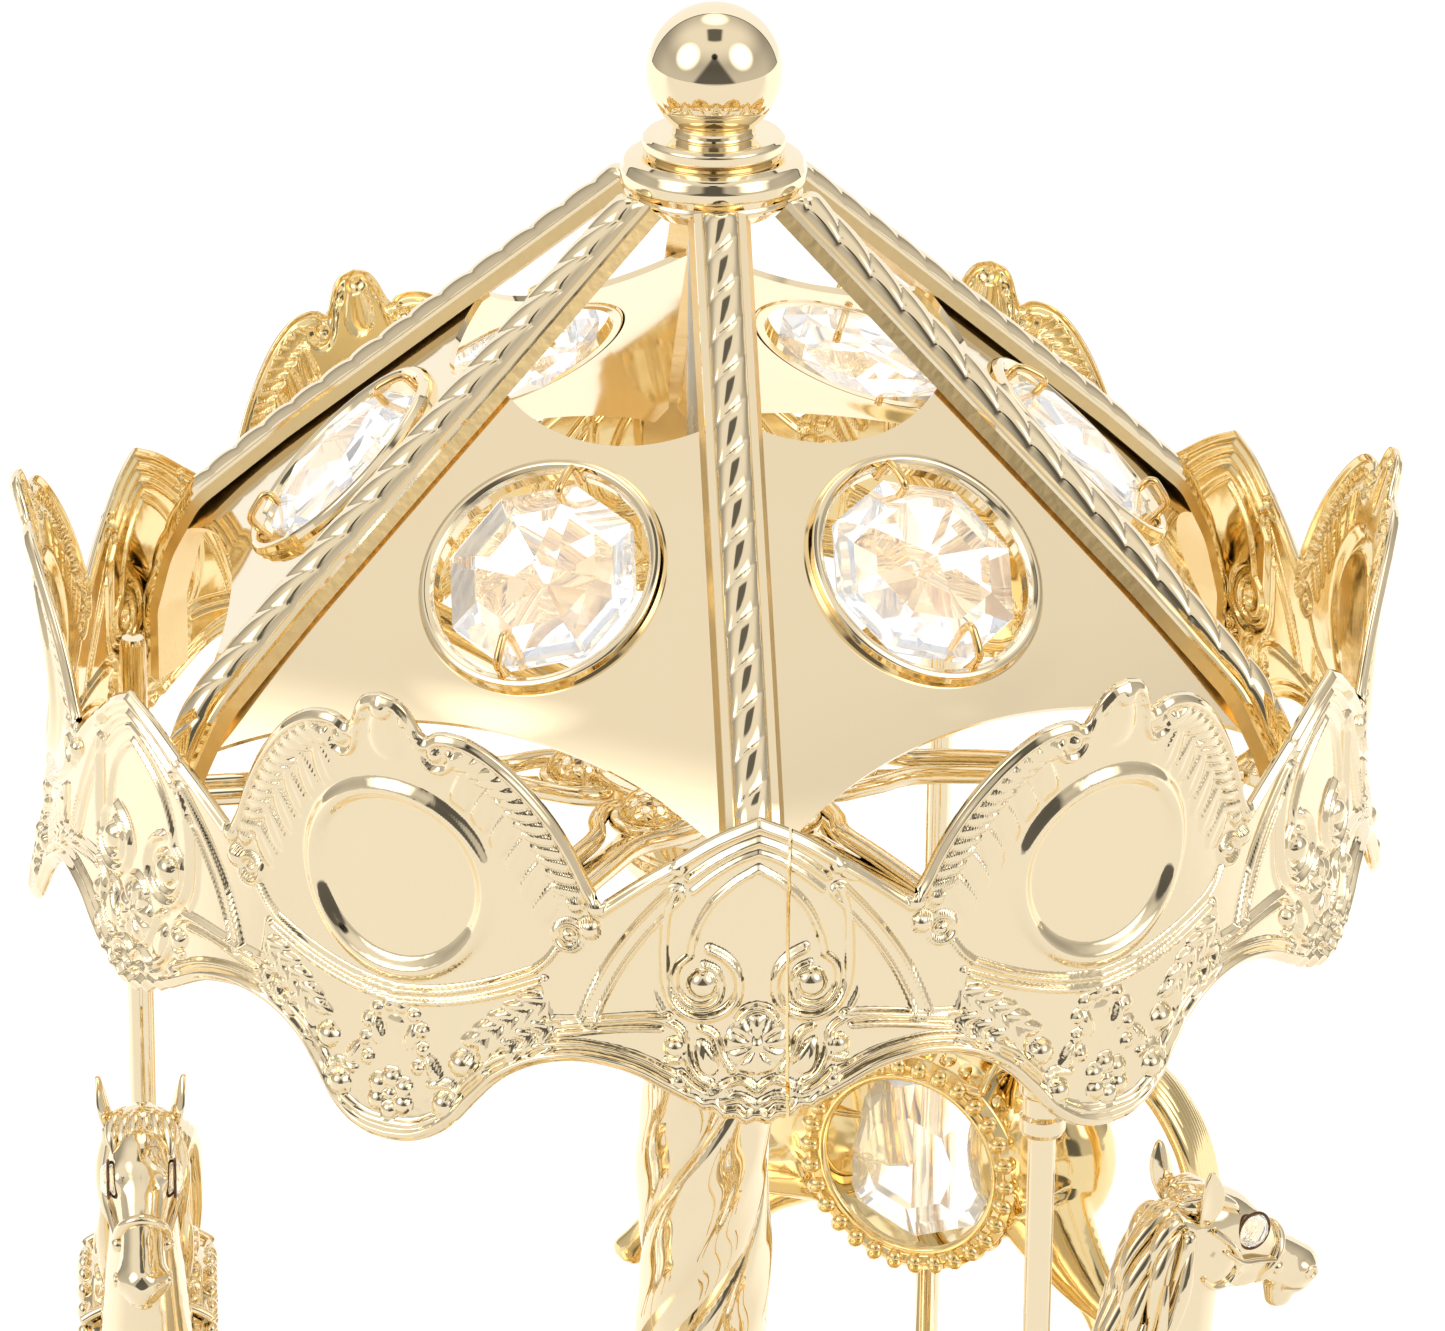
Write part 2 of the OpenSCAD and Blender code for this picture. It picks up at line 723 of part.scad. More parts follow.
module crystal_hooks() {
    wire = 0.35;
    color("#e8c060")
        for (i = [1:sides])
            on_panel(i)
                for (s = [-1, 1]) {
                    translate([s * 6.1, 0, -2.2]) cylinder(r = wire, h = 4.4, $fn = 24);
                    translate([s * 6.1, 0, 2.1]) rotate([0, s * 90, 0])
                        cylinder(r = wire, h = hole_r - 6.1 - 0.05, $fn = 24);
                    translate([s * (hole_r - 0.45), 0, -0.8]) cylinder(r = wire, h = 3.2, $fn = 24);
                }
}

// The strip flares from its waist to both edges
function valance_r(z) = z < waist_z
    ? valance_waist_r + (valance_low_r - valance_waist_r) * pow((waist_z - z) / (waist_z - oval_lo), 2)
    : valance_waist_r + (valance_top_r - valance_waist_r) * pow((z - waist_z) / (oval_hi - waist_z), 2);

function valance_line(inset) = [for (k = [0:8])
    let (z = oval_lo - 0.5 + k * (oval_hi - oval_lo + 1) / 8) [valance_r(z) - inset, z]];

// Half outlines run from the bottom centre to the top centre
function arch_half(w) = concat(
    [[0, arch_lo], [2.2, arch_lo + 0.4], [4.4, arch_lo + 2.2], [7.6, arch_lo + 2.6], [w, notch_lo]],
    [[w, notch_hi - 0.6], [w * 0.86, notch_hi + 1.9], [w * 0.6, notch_hi + 4.3], [w * 0.3, notch_hi + 6.1]],
    [[0, arch_hi]]);

function oval_half(w) = concat(
    [[0, oval_lo], [3, oval_lo + 0.6], [5.2, oval_lo + 2.4], [8.6, oval_lo + 3.4], [12.4, oval_lo + 5.6]],
    [[w, notch_lo]],
    [[w, notch_hi - 0.6], [w * 0.9, notch_hi + 5.2], [w * 0.74, notch_hi + 9.2], [w * 0.5, notch_hi + 11.8]],
    [[w * 0.22, notch_hi + 12.3], [w * 0.12, notch_hi + 14.4], [0, oval_hi]]);

module valance() {
    arch_w = valance_top_r * sin(arch_half_a);
    oval_w = valance_top_r * sin(step_a / 2 - arch_half_a);
    color("#f0dca0")
        difference() {
            intersection() {
                round_band(back_to_front(valance_line(0), valance_line(valance_t)));
                union()
                    for (i = [0:sides - 1]) {
                        rotate(step_a * i) translate([0, -45, 0]) rotate([90, 0, 0])
                            linear_extrude(20) polygon(mirrored(arch_half(arch_w + 0.2)));
                        rotate(step_a * (i + 0.5)) translate([0, -45, 0]) rotate([90, 0, 0])
                            linear_extrude(20) polygon(mirrored(oval_half(oval_w + 0.2)));
                    }
            }
            translate([seam_x, -70, 100]) cube([seam_w, 30, 60]);
        }
}

module collar_ring() {
    color("#ecd698")
        round_band([
            [arbor_r, collar_z - 1.6], [5.2, collar_z - 1.6], [6.2, collar_z - 0.4],
            [collar_r - 0.5, collar_z - 0.2], [collar_r - 0.1, collar_z + 0.5],
            [collar_r, collar_z + 1.8], [collar_r - 0.2, collar_z + 2.5],
            [collar_r - 0.8, collar_z + collar_h], [arbor_r, collar_z + collar_h]
        ]);
}

module cap_disc() {
    z = collar_z + collar_h;
    color("#ecd698")
        round_band([
            [arbor_r, z], [disc_r - 1, z], [disc_r - 0.9, z + 0.4], [disc_r, z + 0.7],
            [disc_r, z + disc_h - 0.3], [disc_r - 0.3, z + disc_h], [arbor_r, z + disc_h]
        ]);
}

module finial_ball() {
    z = collar_z + collar_h + disc_h;
    color("#f0dca0")
        difference() {
            union() {
                translate([0, 0, ball_z]) sphere(r = ball_r, $fn = 96);
                translate([0, 0, z]) cylinder(r = 3.3, h = ball_z - z - 2);
            }
            translate([0, 0, z - 1]) cylinder(r = arbor_r, h = ball_z - z + 1);
            translate([0, 0, z - 2]) cylinder(r = ball_r, h = 2);
        }
}

base_shell();
base_band();
bottom_plate();
base_feet();
plate_screws();
bedplate();
comb();
movement_screws();
barrel_bridge();
governor_bracket();
bearing_bush();
winding_key();
pin_cylinder();
idler_wheel();
governor_fan();
spring_barrel();
mainspring();
centre_spindle();
turntable();
turntable_trim();
column_foot();
column();
column_capital();
spider();
for (i = [1:horse_count]) pole(i);
pole_ferrules();
for (i = [1:horse_count]) horse(i);
for (i = [1:horse_count]) horse_crystals(i);
horse_eyes();
for (i = [1:sides]) rib(i);
for (i = [1:sides]) panel(i);
for (i = [1:sides]) crystal(i);
crystal_hooks();
valance();
collar_ring();
cap_disc();
finial_ball();
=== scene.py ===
import functools
import math

import bmesh
import bpy
import numpy as np
from mathutils import Matrix, Vector

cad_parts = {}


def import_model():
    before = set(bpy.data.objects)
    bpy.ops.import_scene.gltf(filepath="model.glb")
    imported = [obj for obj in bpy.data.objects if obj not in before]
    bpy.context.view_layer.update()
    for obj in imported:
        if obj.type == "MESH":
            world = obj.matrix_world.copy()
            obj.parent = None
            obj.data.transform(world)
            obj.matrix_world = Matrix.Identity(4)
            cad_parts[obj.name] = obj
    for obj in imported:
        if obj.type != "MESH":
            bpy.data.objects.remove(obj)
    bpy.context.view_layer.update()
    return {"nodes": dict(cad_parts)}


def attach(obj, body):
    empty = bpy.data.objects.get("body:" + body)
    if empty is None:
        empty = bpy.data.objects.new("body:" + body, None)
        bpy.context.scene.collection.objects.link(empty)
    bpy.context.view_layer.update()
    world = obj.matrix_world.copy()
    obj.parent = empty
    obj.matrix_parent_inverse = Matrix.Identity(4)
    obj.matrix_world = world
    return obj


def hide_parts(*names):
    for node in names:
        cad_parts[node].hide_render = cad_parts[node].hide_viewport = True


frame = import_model()

MM = 0.001
FRONT = -math.pi / 2
STEP = math.pi / 3


# ---------- mesh helpers, all in millimetres ----------

def grid_faces(nu, nv, wrap_u=False, wrap_v=False, flip=False):
    iu = np.arange(nu if wrap_u else nu - 1)
    iv = np.arange(nv if wrap_v else nv - 1)
    i, j = np.meshgrid(iu, iv, indexing="ij")
    i1, j1 = (i + 1) % nu, (j + 1) % nv
    q = np.stack([i * nv + j, i1 * nv + j, i1 * nv + j1, i * nv + j1], -1).reshape(-1, 4)
    return q[:, ::-1] if flip else q


def merge(shapes):
    verts, groups, base = [], [], 0
    for v, gs in shapes:
        verts.append(np.asarray(v, float))
        groups += [np.asarray(g) + base for g in gs]
        base += len(v)
    return np.concatenate(verts), groups


def rot_z(a):
    c, s = math.cos(a), math.sin(a)
    return np.array([[c, -s, 0], [s, c, 0], [0, 0, 1.0]])


def turned(shape, m, offset=(0, 0, 0)):
    return np.asarray(shape[0]) @ np.asarray(m).T + np.asarray(offset, float), shape[1]


def piece(name, shape, mats, body="carousel", nodes=(), smooth=True, angle=None, normals=None, index=None):
    v, groups = shape
    me = bpy.data.meshes.new(name)
    co = (np.asarray(v) * MM).astype(np.float32)
    me.vertices.add(len(co))
    me.vertices.foreach_set("co", co.ravel())
    loops = np.concatenate([g.ravel() for g in groups]).astype(np.int32)
    counts = np.concatenate([np.full(len(g), g.shape[1]) for g in groups])
    starts = np.concatenate([[0], np.cumsum(counts)[:-1]]).astype(np.int32)
    me.loops.add(len(loops))
    me.loops.foreach_set("vertex_index", loops)
    me.polygons.add(len(counts))
    me.polygons.foreach_set("loop_start", starts)
    me.polygons.foreach_set("use_smooth", np.full(len(counts), smooth))
    mats = mats if isinstance(mats, (list, tuple)) else [mats]
    for m in mats:
        me.materials.append(m)
    if index is not None:
        me.polygons.foreach_set("material_index", np.asarray(index, np.int32))
    me.update(calc_edges=True)
    if angle is not None:
        me.set_sharp_from_angle(angle=math.radians(angle))
    if normals is not None:
        me.normals_split_custom_set_from_vertices(np.asarray(normals, float).tolist())
    o = bpy.data.objects.new(name, me)
    bpy.context.scene.collection.objects.link(o)
    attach(o, body)
    if nodes:
        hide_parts(*nodes)


def curve(pts, n=10):
    p = np.asarray(pts, float)
    if len(p) < 3:
        return p
    q = np.concatenate([[2 * p[0] - p[1]], p, [2 * p[-1] - p[-2]]])
    t = np.linspace(0, 1, n, endpoint=False)[:, None]
    out = []
    for i in range(len(p) - 1):
        a, b, c, d = q[i], q[i + 1], q[i + 2], q[i + 3]
        bend, twist = 2 * a - 5 * b + 4 * c - d, 3 * b - a - 3 * c + d
        out.append(0.5 * (2 * b + (c - a) * t + bend * t ** 2 + twist * t ** 3))
    return np.concatenate(out + [p[-1:]])


def fillet(pts, r, n=5):
    p = np.asarray(pts, float)
    rs = r if isinstance(r, (list, tuple)) else [r] * len(p)
    out = [p[0]]
    for i in range(1, len(p) - 1):
        a, b, c = p[i - 1], p[i], p[i + 1]
        la, lc = np.linalg.norm(a - b), np.linalg.norm(c - b)
        ua, uc = (a - b) / la, (c - b) / lc
        half = math.acos(max(-1, min(1, float(ua @ uc)))) / 2
        if rs[i] <= 0 or half > 1.5:
            out.append(b)
            continue
        cut = min(rs[i] / math.tan(half), 0.45 * la, 0.45 * lc)
        rad = cut * math.tan(half)
        mid = b + (ua + uc) / np.linalg.norm(ua + uc) * rad / math.sin(half)
        s, e = b + ua * cut, b + uc * cut
        out.append(s + ua * min(0.06, 0.03 * la))
        a0 = math.atan2(*(s - mid)[::-1])
        a1 = math.atan2(*(e - mid)[::-1])
        d = (a1 - a0 + math.pi) % (2 * math.pi) - math.pi
        for k in range(n + 1):
            t = a0 + d * k / n
            out.append(mid + rad * np.array([math.cos(t), math.sin(t)]))
        out.append(e + uc * min(0.06, 0.03 * lc))
    out.append(p[-1])
    return np.array(out)


def lathe(profile, n=128):
    p = np.asarray(profile, float)
    t = np.arange(n) * 2 * math.pi / n
    r, z = p[:, 0][:, None], p[:, 1][:, None]
    v = np.stack([r * np.cos(t), r * np.sin(t), z + 0 * t], -1).reshape(-1, 3)
    return v, [grid_faces(len(p), n, wrap_v=True)]


def tube(path, r, n=12, flat=1.0, up=(0, 0, 1), closed=False):
    p = np.asarray(path, float)
    m = len(p)
    r = np.broadcast_to(np.asarray(r, float), (m,))
    t = np.gradient(p, axis=0)
    if closed:
        t = np.roll(p, -1, 0) - np.roll(p, 1, 0)
    t /= np.linalg.norm(t, axis=1)[:, None] + 1e-12
    u = np.asarray(up, float)
    a = np.cross(t, u)
    bad = np.linalg.norm(a, axis=1) < 1e-3
    a[bad] = np.cross(t[bad], [1.0, 0.2, 0])
    a /= np.linalg.norm(a, axis=1)[:, None]
    for i in range(1, m):
        if a[i] @ a[i - 1] < 0:
            a[i] = -a[i]
    b = np.cross(t, a)
    ang = np.arange(n) * 2 * math.pi / n
    ring = a[:, None] * np.cos(ang)[None, :, None] + flat * b[:, None] * np.sin(ang)[None, :, None]
    v = (p[:, None] + r[:, None, None] * ring).reshape(-1, 3)
    groups = [grid_faces(m, n, wrap_u=closed, wrap_v=True, flip=True)]
    if not closed:
        tips = np.array([p[0] - t[0] * r[0] * 0.5, p[-1] + t[-1] * r[-1] * 0.5])
        k = np.arange(n)
        first = np.stack([np.full(n, m * n), k, (k + 1) % n], 1)
        last = np.stack([np.full(n, m * n + 1), (m - 1) * n + (k + 1) % n, (m - 1) * n + k], 1)
        v = np.concatenate([v, tips])
        groups += [first[:, ::-1], last[:, ::-1]]
    return v, groups


def ball(c, r, n=20):
    t = np.linspace(-math.pi / 2, math.pi / 2, n // 2 + 1)
    v, g = lathe(np.stack([np.maximum(np.cos(t), 1e-3), np.sin(t)], 1), n)
    r = np.broadcast_to(np.asarray(r, float), (3,))
    return v * r + np.asarray(c, float), g


# ---------- materials ----------

def shader(name):
    m = bpy.data.materials.new(name)
    m.use_nodes = True
    return m, m.node_tree, m.node_tree.nodes["Principled BSDF"]


def connect(nt, node, inputs):
    """Each input is a constant, or the socket that feeds it."""
    for key, value in inputs.items():
        if isinstance(value, bpy.types.NodeSocket):
            nt.links.new(value, node.inputs[key])
        else:
            node.inputs[key].default_value = value


def map_range(nt, value, lo, hi, a, b, smooth=False):
    n = nt.nodes.new("ShaderNodeMapRange")
    if smooth:
        n.interpolation_type = "SMOOTHSTEP"
    connect(nt, n, {"Value": value, "From Min": lo, "From Max": hi, "To Min": a, "To Max": b})
    return n.outputs["Result"]


def colour_mix(nt, a, b, factor):
    n = nt.nodes.new("ShaderNodeMix")
    n.data_type = "RGBA"
    connect(nt, n, {"A": (*a, 1), "B": (*b, 1), "Factor": factor})
    return n.outputs["Result"]


def own_coords(nt):
    return nt.nodes.new("ShaderNodeTexCoord").outputs["Object"]


def noise(nt, scale, detail):
    n = nt.nodes.new("ShaderNodeTexNoise")
    connect(nt, n, {"Vector": own_coords(nt), "Scale": scale, "Detail": detail})
    return n.outputs["Fac"]


def add_bump(nt, bsdf, height, strength, distance):
    n = nt.nodes.new("ShaderNodeBump")
    connect(nt, n, {"Height": height, "Strength": strength, "Distance": distance})
    nt.links.new(n.outputs["Normal"], bsdf.inputs["Normal"])


def gold(name, tone, rough, bump=0.0, bump_scale=300.0):
    m, nt, b = shader(name)
    wide = noise(nt, 90.0, 4.0)
    low = tuple(c * (1 - 0.02 * k) for c, k in zip(tone, (0.4, 1.2, 2.5)))
    connect(nt, b, {"Metallic": 1.0, "Roughness": map_range(nt, wide, 0.3, 0.7, *rough),
                    "Base Color": colour_mix(nt, tone, low, wide)})
    if bump:
        add_bump(nt, b, noise(nt, bump_scale, 2.0), bump, 0.0004)
    return m


def glass(name):
    m, nt, b = shader(name)
    cell = nt.nodes.new("ShaderNodeTexVoronoi")
    connect(nt, cell, {"Vector": own_coords(nt), "Scale": 260.0})
    # painted light: a faint white emission makes the crystals glow
    connect(nt, b, {
        "Transmission Weight": 0.96, "Roughness": 0.0, "IOR": 1.5,
        "Coat Weight": 0.35, "Coat Roughness": 0.0, "Coat IOR": 1.8,
        "Emission Color": (0.96, 0.97, 1.0, 1), "Emission Strength": 0.12,
        "Base Color": colour_mix(nt, (1.0, 0.985, 0.965), (0.95, 0.965, 1.0), cell.outputs["Distance"])})
    return m


def plain(name, colour, metal, rough, scale, depth, bump=0.0):
    m, nt, b = shader(name)
    fac = noise(nt, scale, 5.0)
    low = tuple(c * (1 - depth) for c in colour)
    connect(nt, b, {"Metallic": metal, "Base Color": colour_mix(nt, colour, low, fac),
                    "Roughness": map_range(nt, fac, 0, 1, rough * 0.75, min(1, rough * 1.3))})
    if bump:
        add_bump(nt, b, fac, bump, 0.0003)
    return m


PALE = (0.985, 0.86, 0.62)
# painted shade: darker, deeper gold tone for faces and parts that sit in shade
DEEP_SHADE = (0.985, 0.79, 0.42)
gold_sheet = gold("gold_sheet", PALE, (0.045, 0.075), 0.05, 60.0)
gold_relief = gold("gold_relief", PALE, (0.05, 0.09), 0.06, 500.0)
gold_turned = gold("gold_turned", PALE, (0.025, 0.05))
gold_cast = gold("gold_cast", PALE, (0.05, 0.10), 0.10, 420.0)
# painted shade: darker copy of the gold for the valance back faces, the rear horse and the bottom plate
gold_shaded = gold("gold_shaded", DEEP_SHADE, (0.07, 0.13), 0.10, 300.0)
# rougher edge finish; its darker tone is painted shade on the rib's underside and side walls
gold_edge_shade = gold("gold_edge_shade", (0.98, 0.76, 0.40), (0.26, 0.36), 0.12, 900.0)
gold_wire = gold("gold_wire", (0.97, 0.70, 0.34), (0.06, 0.1))
crystal_glass = glass("crystal_glass")
rubber = plain("rubber_black", (0.03, 0.03, 0.032), 0, 0.65, 900, 0.3, 0.2)
steel = plain("steel_ground", (0.62, 0.63, 0.65), 1, 0.28, 400, 0.15)
brass = plain("brass_turned", (0.86, 0.64, 0.30), 1, 0.22, 300, 0.12)
zinc = plain("zinc_cast", (0.42, 0.42, 0.41), 1, 0.5, 500, 0.2, 0.3)
foil = plain("foil_silver", (0.95, 0.95, 0.96), 1, 0.12, 300, 0.05)
# painted shade: the eye bezels are dark brown for the shadow round the set eye stones
bezel = plain("bezel_shadow", (0.16, 0.09, 0.05), 1, 0.3, 900, 0.2)


# ---------- valance: embossed strip in twelve lobes ----------

ARC = 55.0
HALF = ARC * STEP / 2
NOTCH = 12.1
LOBE_STEP = 0.19

ARCH_TOP = curve([(0, 142.2), (3.2, 140.7), (6.4, 138.6), (9.2, 136.7), (NOTCH, 134.5)])
OVAL_TOP = curve([(HALF - NOTCH, 134.5), (15.6, 136.4), (14.4, 139), (12.9, 141.6), (11, 144.1), (9, 146.1),
                  (7, 147.4), (5.4, 147.8), (4.2, 147.7), (3.3, 147.2), (2.7, 147.9), (2.1, 149.2),
                  (1.3, 150.1), (0, 150.5)])
BOTTOM = curve([(0, 117.4), (1.6, 117.6), (3.2, 118.2), (5, 118.9), (7, 119.9), (9, 120.9), (11, 121.5),
                (13.5, 121.8), (16, 121.5), (18.2, 120.7), (20.2, 119.4), (22.0, 117.5), (23.5, 115.7),
                (25.2, 114.4), (27, 113.7), (HALF, 113.5)])
TOP_A = np.concatenate([ARCH_TOP[:, 0], HALF - OVAL_TOP[1:, 0]])
TOP_Z = np.concatenate([ARCH_TOP[:, 1], OVAL_TOP[1:, 1]])


def top_edge(a):
    return np.interp(a, TOP_A, TOP_Z)


def low_edge(a):
    ruffle = 0.16 * np.cos(a * 2 * math.pi / 1.7) * np.clip((5.4 - a) / 1.5, 0, 1)
    return np.interp(a, BOTTOM[:, 0], BOTTOM[:, 1]) + ruffle


LOW_R, WAIST_R, TOP_R, WAIST_Z, LOW_Z, TOP_Z0 = 56.2, 54.0, 56.6, 132.0, 113.4, 150.0


def wall_radius(z):
    z = np.asarray(z, float)
    low = WAIST_R + (LOW_R - WAIST_R) * (np.clip(WAIST_Z - z, 0, None) / (WAIST_Z - LOW_Z)) ** 2
    top = WAIST_R + (TOP_R - WAIST_R) * (np.clip(z - WAIST_Z, 0, None) / (TOP_Z0 - WAIST_Z)) ** 2
    return np.where(z < WAIST_Z, low, top)


def bump(d, w):
    return 0.5 + 0.5 * np.cos(np.pi * np.clip(np.abs(d) / w, 0, 1))


def far(a, z, pts, n=8):
    p = curve(pts, n)
    best = np.full(np.shape(a), 1e9)
    for (x0, y0), (x1, y1) in zip(p[:-1], p[1:]):
        dx, dy = x1 - x0, y1 - y0
        t = np.clip(((a - x0) * dx + (z - y0) * dy) / (dx * dx + dy * dy + 1e-9), 0, 1)
        best = np.minimum(best, (a - x0 - t * dx) ** 2 + (z - y0 - t * dy) ** 2)
    return np.sqrt(best)


def bead(a, z, c, r, k=0.85):
    return k * r * np.sqrt(np.clip(1 - ((a - c[0]) ** 2 + (z - c[1]) ** 2) / r ** 2, 0, None))


def leaf(a, z, c, ang, length, width, h, vein=0.35):
    ca, sa = math.cos(math.radians(ang)), math.sin(math.radians(ang))
    x = ((a - c[0]) * ca + (z - c[1]) * sa) / length
    y = (-(a - c[0]) * sa + (z - c[1]) * ca) / (width * (1 - 0.35 * np.clip(x, -1, 1)))
    body = np.sqrt(np.clip(1 - x ** 2 - y ** 2, 0, None))
    return h * body * (1 - vein * np.exp(-(y / 0.28) ** 2))


def ridges(a, z, lines):
    """Lines of (points, half width, height)."""
    return [k * bump(far(a, z, pts), w) for pts, w, k in lines]


def highest(shapes):
    return functools.reduce(np.maximum, shapes)


def arch_relief(a, z):
    shapes = [np.zeros_like(a)] + ridges(a, z, [
        ([(0, 140.5), (1.6, 139.8), (3.4, 138.7), (5.3, 137.2)], 0.5, 0.45),
        ([(0, 139.4), (1.5, 138.8), (3.3, 137.6), (5.0, 136.1)], 0.42, 0.3),
        ([(6.3, 136.3), (6.9, 134.6), (7.15, 132.6), (7.2, 130.4), (7.0, 128.2), (6.2, 126.6),
          (4.8, 125.75), (3.2, 125.85), (1.95, 126.7), (1.35, 128.1), (1.65, 129.6), (2.6, 130.7),
          (3.7, 131.3)], 0.52, 0.52),
        ([(7.7, 135), (8.15, 133), (8.25, 130.4), (8.0, 127.8), (7.3, 126.2)], 0.35, 0.2),
        ([(5.2, 130.8), (6.15, 129.8), (6.3, 128.4), (5.6, 127.05), (4.4, 126.55), (3.2, 127.0),
          (2.75, 128.3), (3.15, 129.5), (4.1, 130.0)], 0.38, 0.42),
        ([(0, 138.1), (1.9, 136.8), (3.7, 134.9), (4.8, 132.6), (5.2, 130.8)], 0.45, 0.42),
        ([(0, 126.6), (0.9, 126.3), (1.5, 125.5)], 0.4, 0.5),
        ([(4.3, 124.9), (3.3, 124.3), (2.75, 122.9), (1.9, 121.5)], 0.42, 0.5),
        ([(5.7, 124.1), (5.3, 122.5), (4.6, 121.2), (3.6, 120.5)], 0.42, 0.5),
        ([(0, 119.9), (1.1, 120.7), (2.3, 120.4), (3.3, 119.6), (4.8, 120.2), (5.8, 121.2)], 0.4, 0.5),
        ([(0, 118.7), (1.3, 119.4), (2.6, 119.2), (3.8, 119.3), (5.0, 120.0)], 0.35, 0.4),
        ([(8.6, 125.6), (7.1, 125.4), (5.9, 124.7), (5.45, 123.4), (5.9, 122.4), (6.8, 122.2)], 0.38, 0.45),
    ])
    shapes += [bead(a, z, (4.2, 128.5), 1.15, 0.8), bead(a, z, (6.3, 123.3), 0.8),
               bead(a, z, (6.15, 138.0), 0.62), bead(a, z, (5.9, 120.6), 0.6),
               leaf(a, z, (7.1, 137.3), -35, 1.0, 0.5, 0.3),
               leaf(a, z, (3.9, 122.5), 70, 1.5, 0.8, 0.5, 0.2),
               leaf(a, z, (2.9, 119.9), 20, 1.0, 0.45, 0.45, 0.2)]
    # flower
    r = np.hypot(a, z - 123.6)
    phi = np.arctan2(a, z - 123.6)
    petal = np.sqrt(np.clip(1 - ((r - 1.35) / 1.1) ** 2, 0,
                            None)) * (0.35 + 0.65 * np.abs(np.cos(4.5 * phi)) ** 0.8)
    shapes += [0.6 * petal, bead(a, z, (0, 123.6), 0.6, 1.1)]
    for k in range(6):
        t = math.radians(30 + 60 * k)
        shapes.append(bead(a, z, (0.62 * math.cos(t), 123.6 + 0.62 * math.sin(t)), 0.3, 1.6))
    return highest(shapes)


def shared_relief(a, z):
    up = top_edge(a)
    da = 0.05
    slope_up = (top_edge(a + da) - top_edge(np.abs(a - da))) / (2 * da)
    d_top = (up - z) / np.sqrt(1 + slope_up ** 2)
    low = low_edge(a)
    slope_low = (low_edge(a + da) - low_edge(np.abs(a - da))) / (2 * da)
    d_low = (z - low) / np.sqrt(1 + slope_low ** 2)
    h = 0.42 * bump(d_top - 0.42, 0.5)
    h = np.maximum(h, 0.55 * bump(d_low - 0.5, 0.55))
    band = np.clip((a - 5.2) / 1.0, 0, 1) * np.clip((24.2 - a) / 1.5, 0, 1)
    h = np.maximum(h, 0.42 * band * bump(d_low - 1.4, 0.42))
    trough = np.clip((a - 6.4) / 1.0, 0, 1) * np.clip((15.8 - a) / 2.0, 0, 1)
    h = h - 0.4 * trough * bump(d_low - 2.35, 0.9)
    rib = far(a, z, [(6.3, 135.9), (7.8, 134.2), (9.4, 132.2), (11.0, 129.8), (12.3, 127.2), (13.1, 125.2)])
    h = np.maximum(h, 0.42 * bump(rib - 0.55, 0.35))
    h = np.maximum(h, 0.16 * bump(rib, 0.9))
    return highest([h] + ridges(a, z, [
        ([(6.8, 125.7), (9, 125.6), (12, 125.2), (15.0, 124.7)], 0.45, 0.5),
        ([(7.4, 124.75), (9.5, 124.7), (12, 124.4), (15.4, 123.8)], 0.38, 0.35),
    ]))


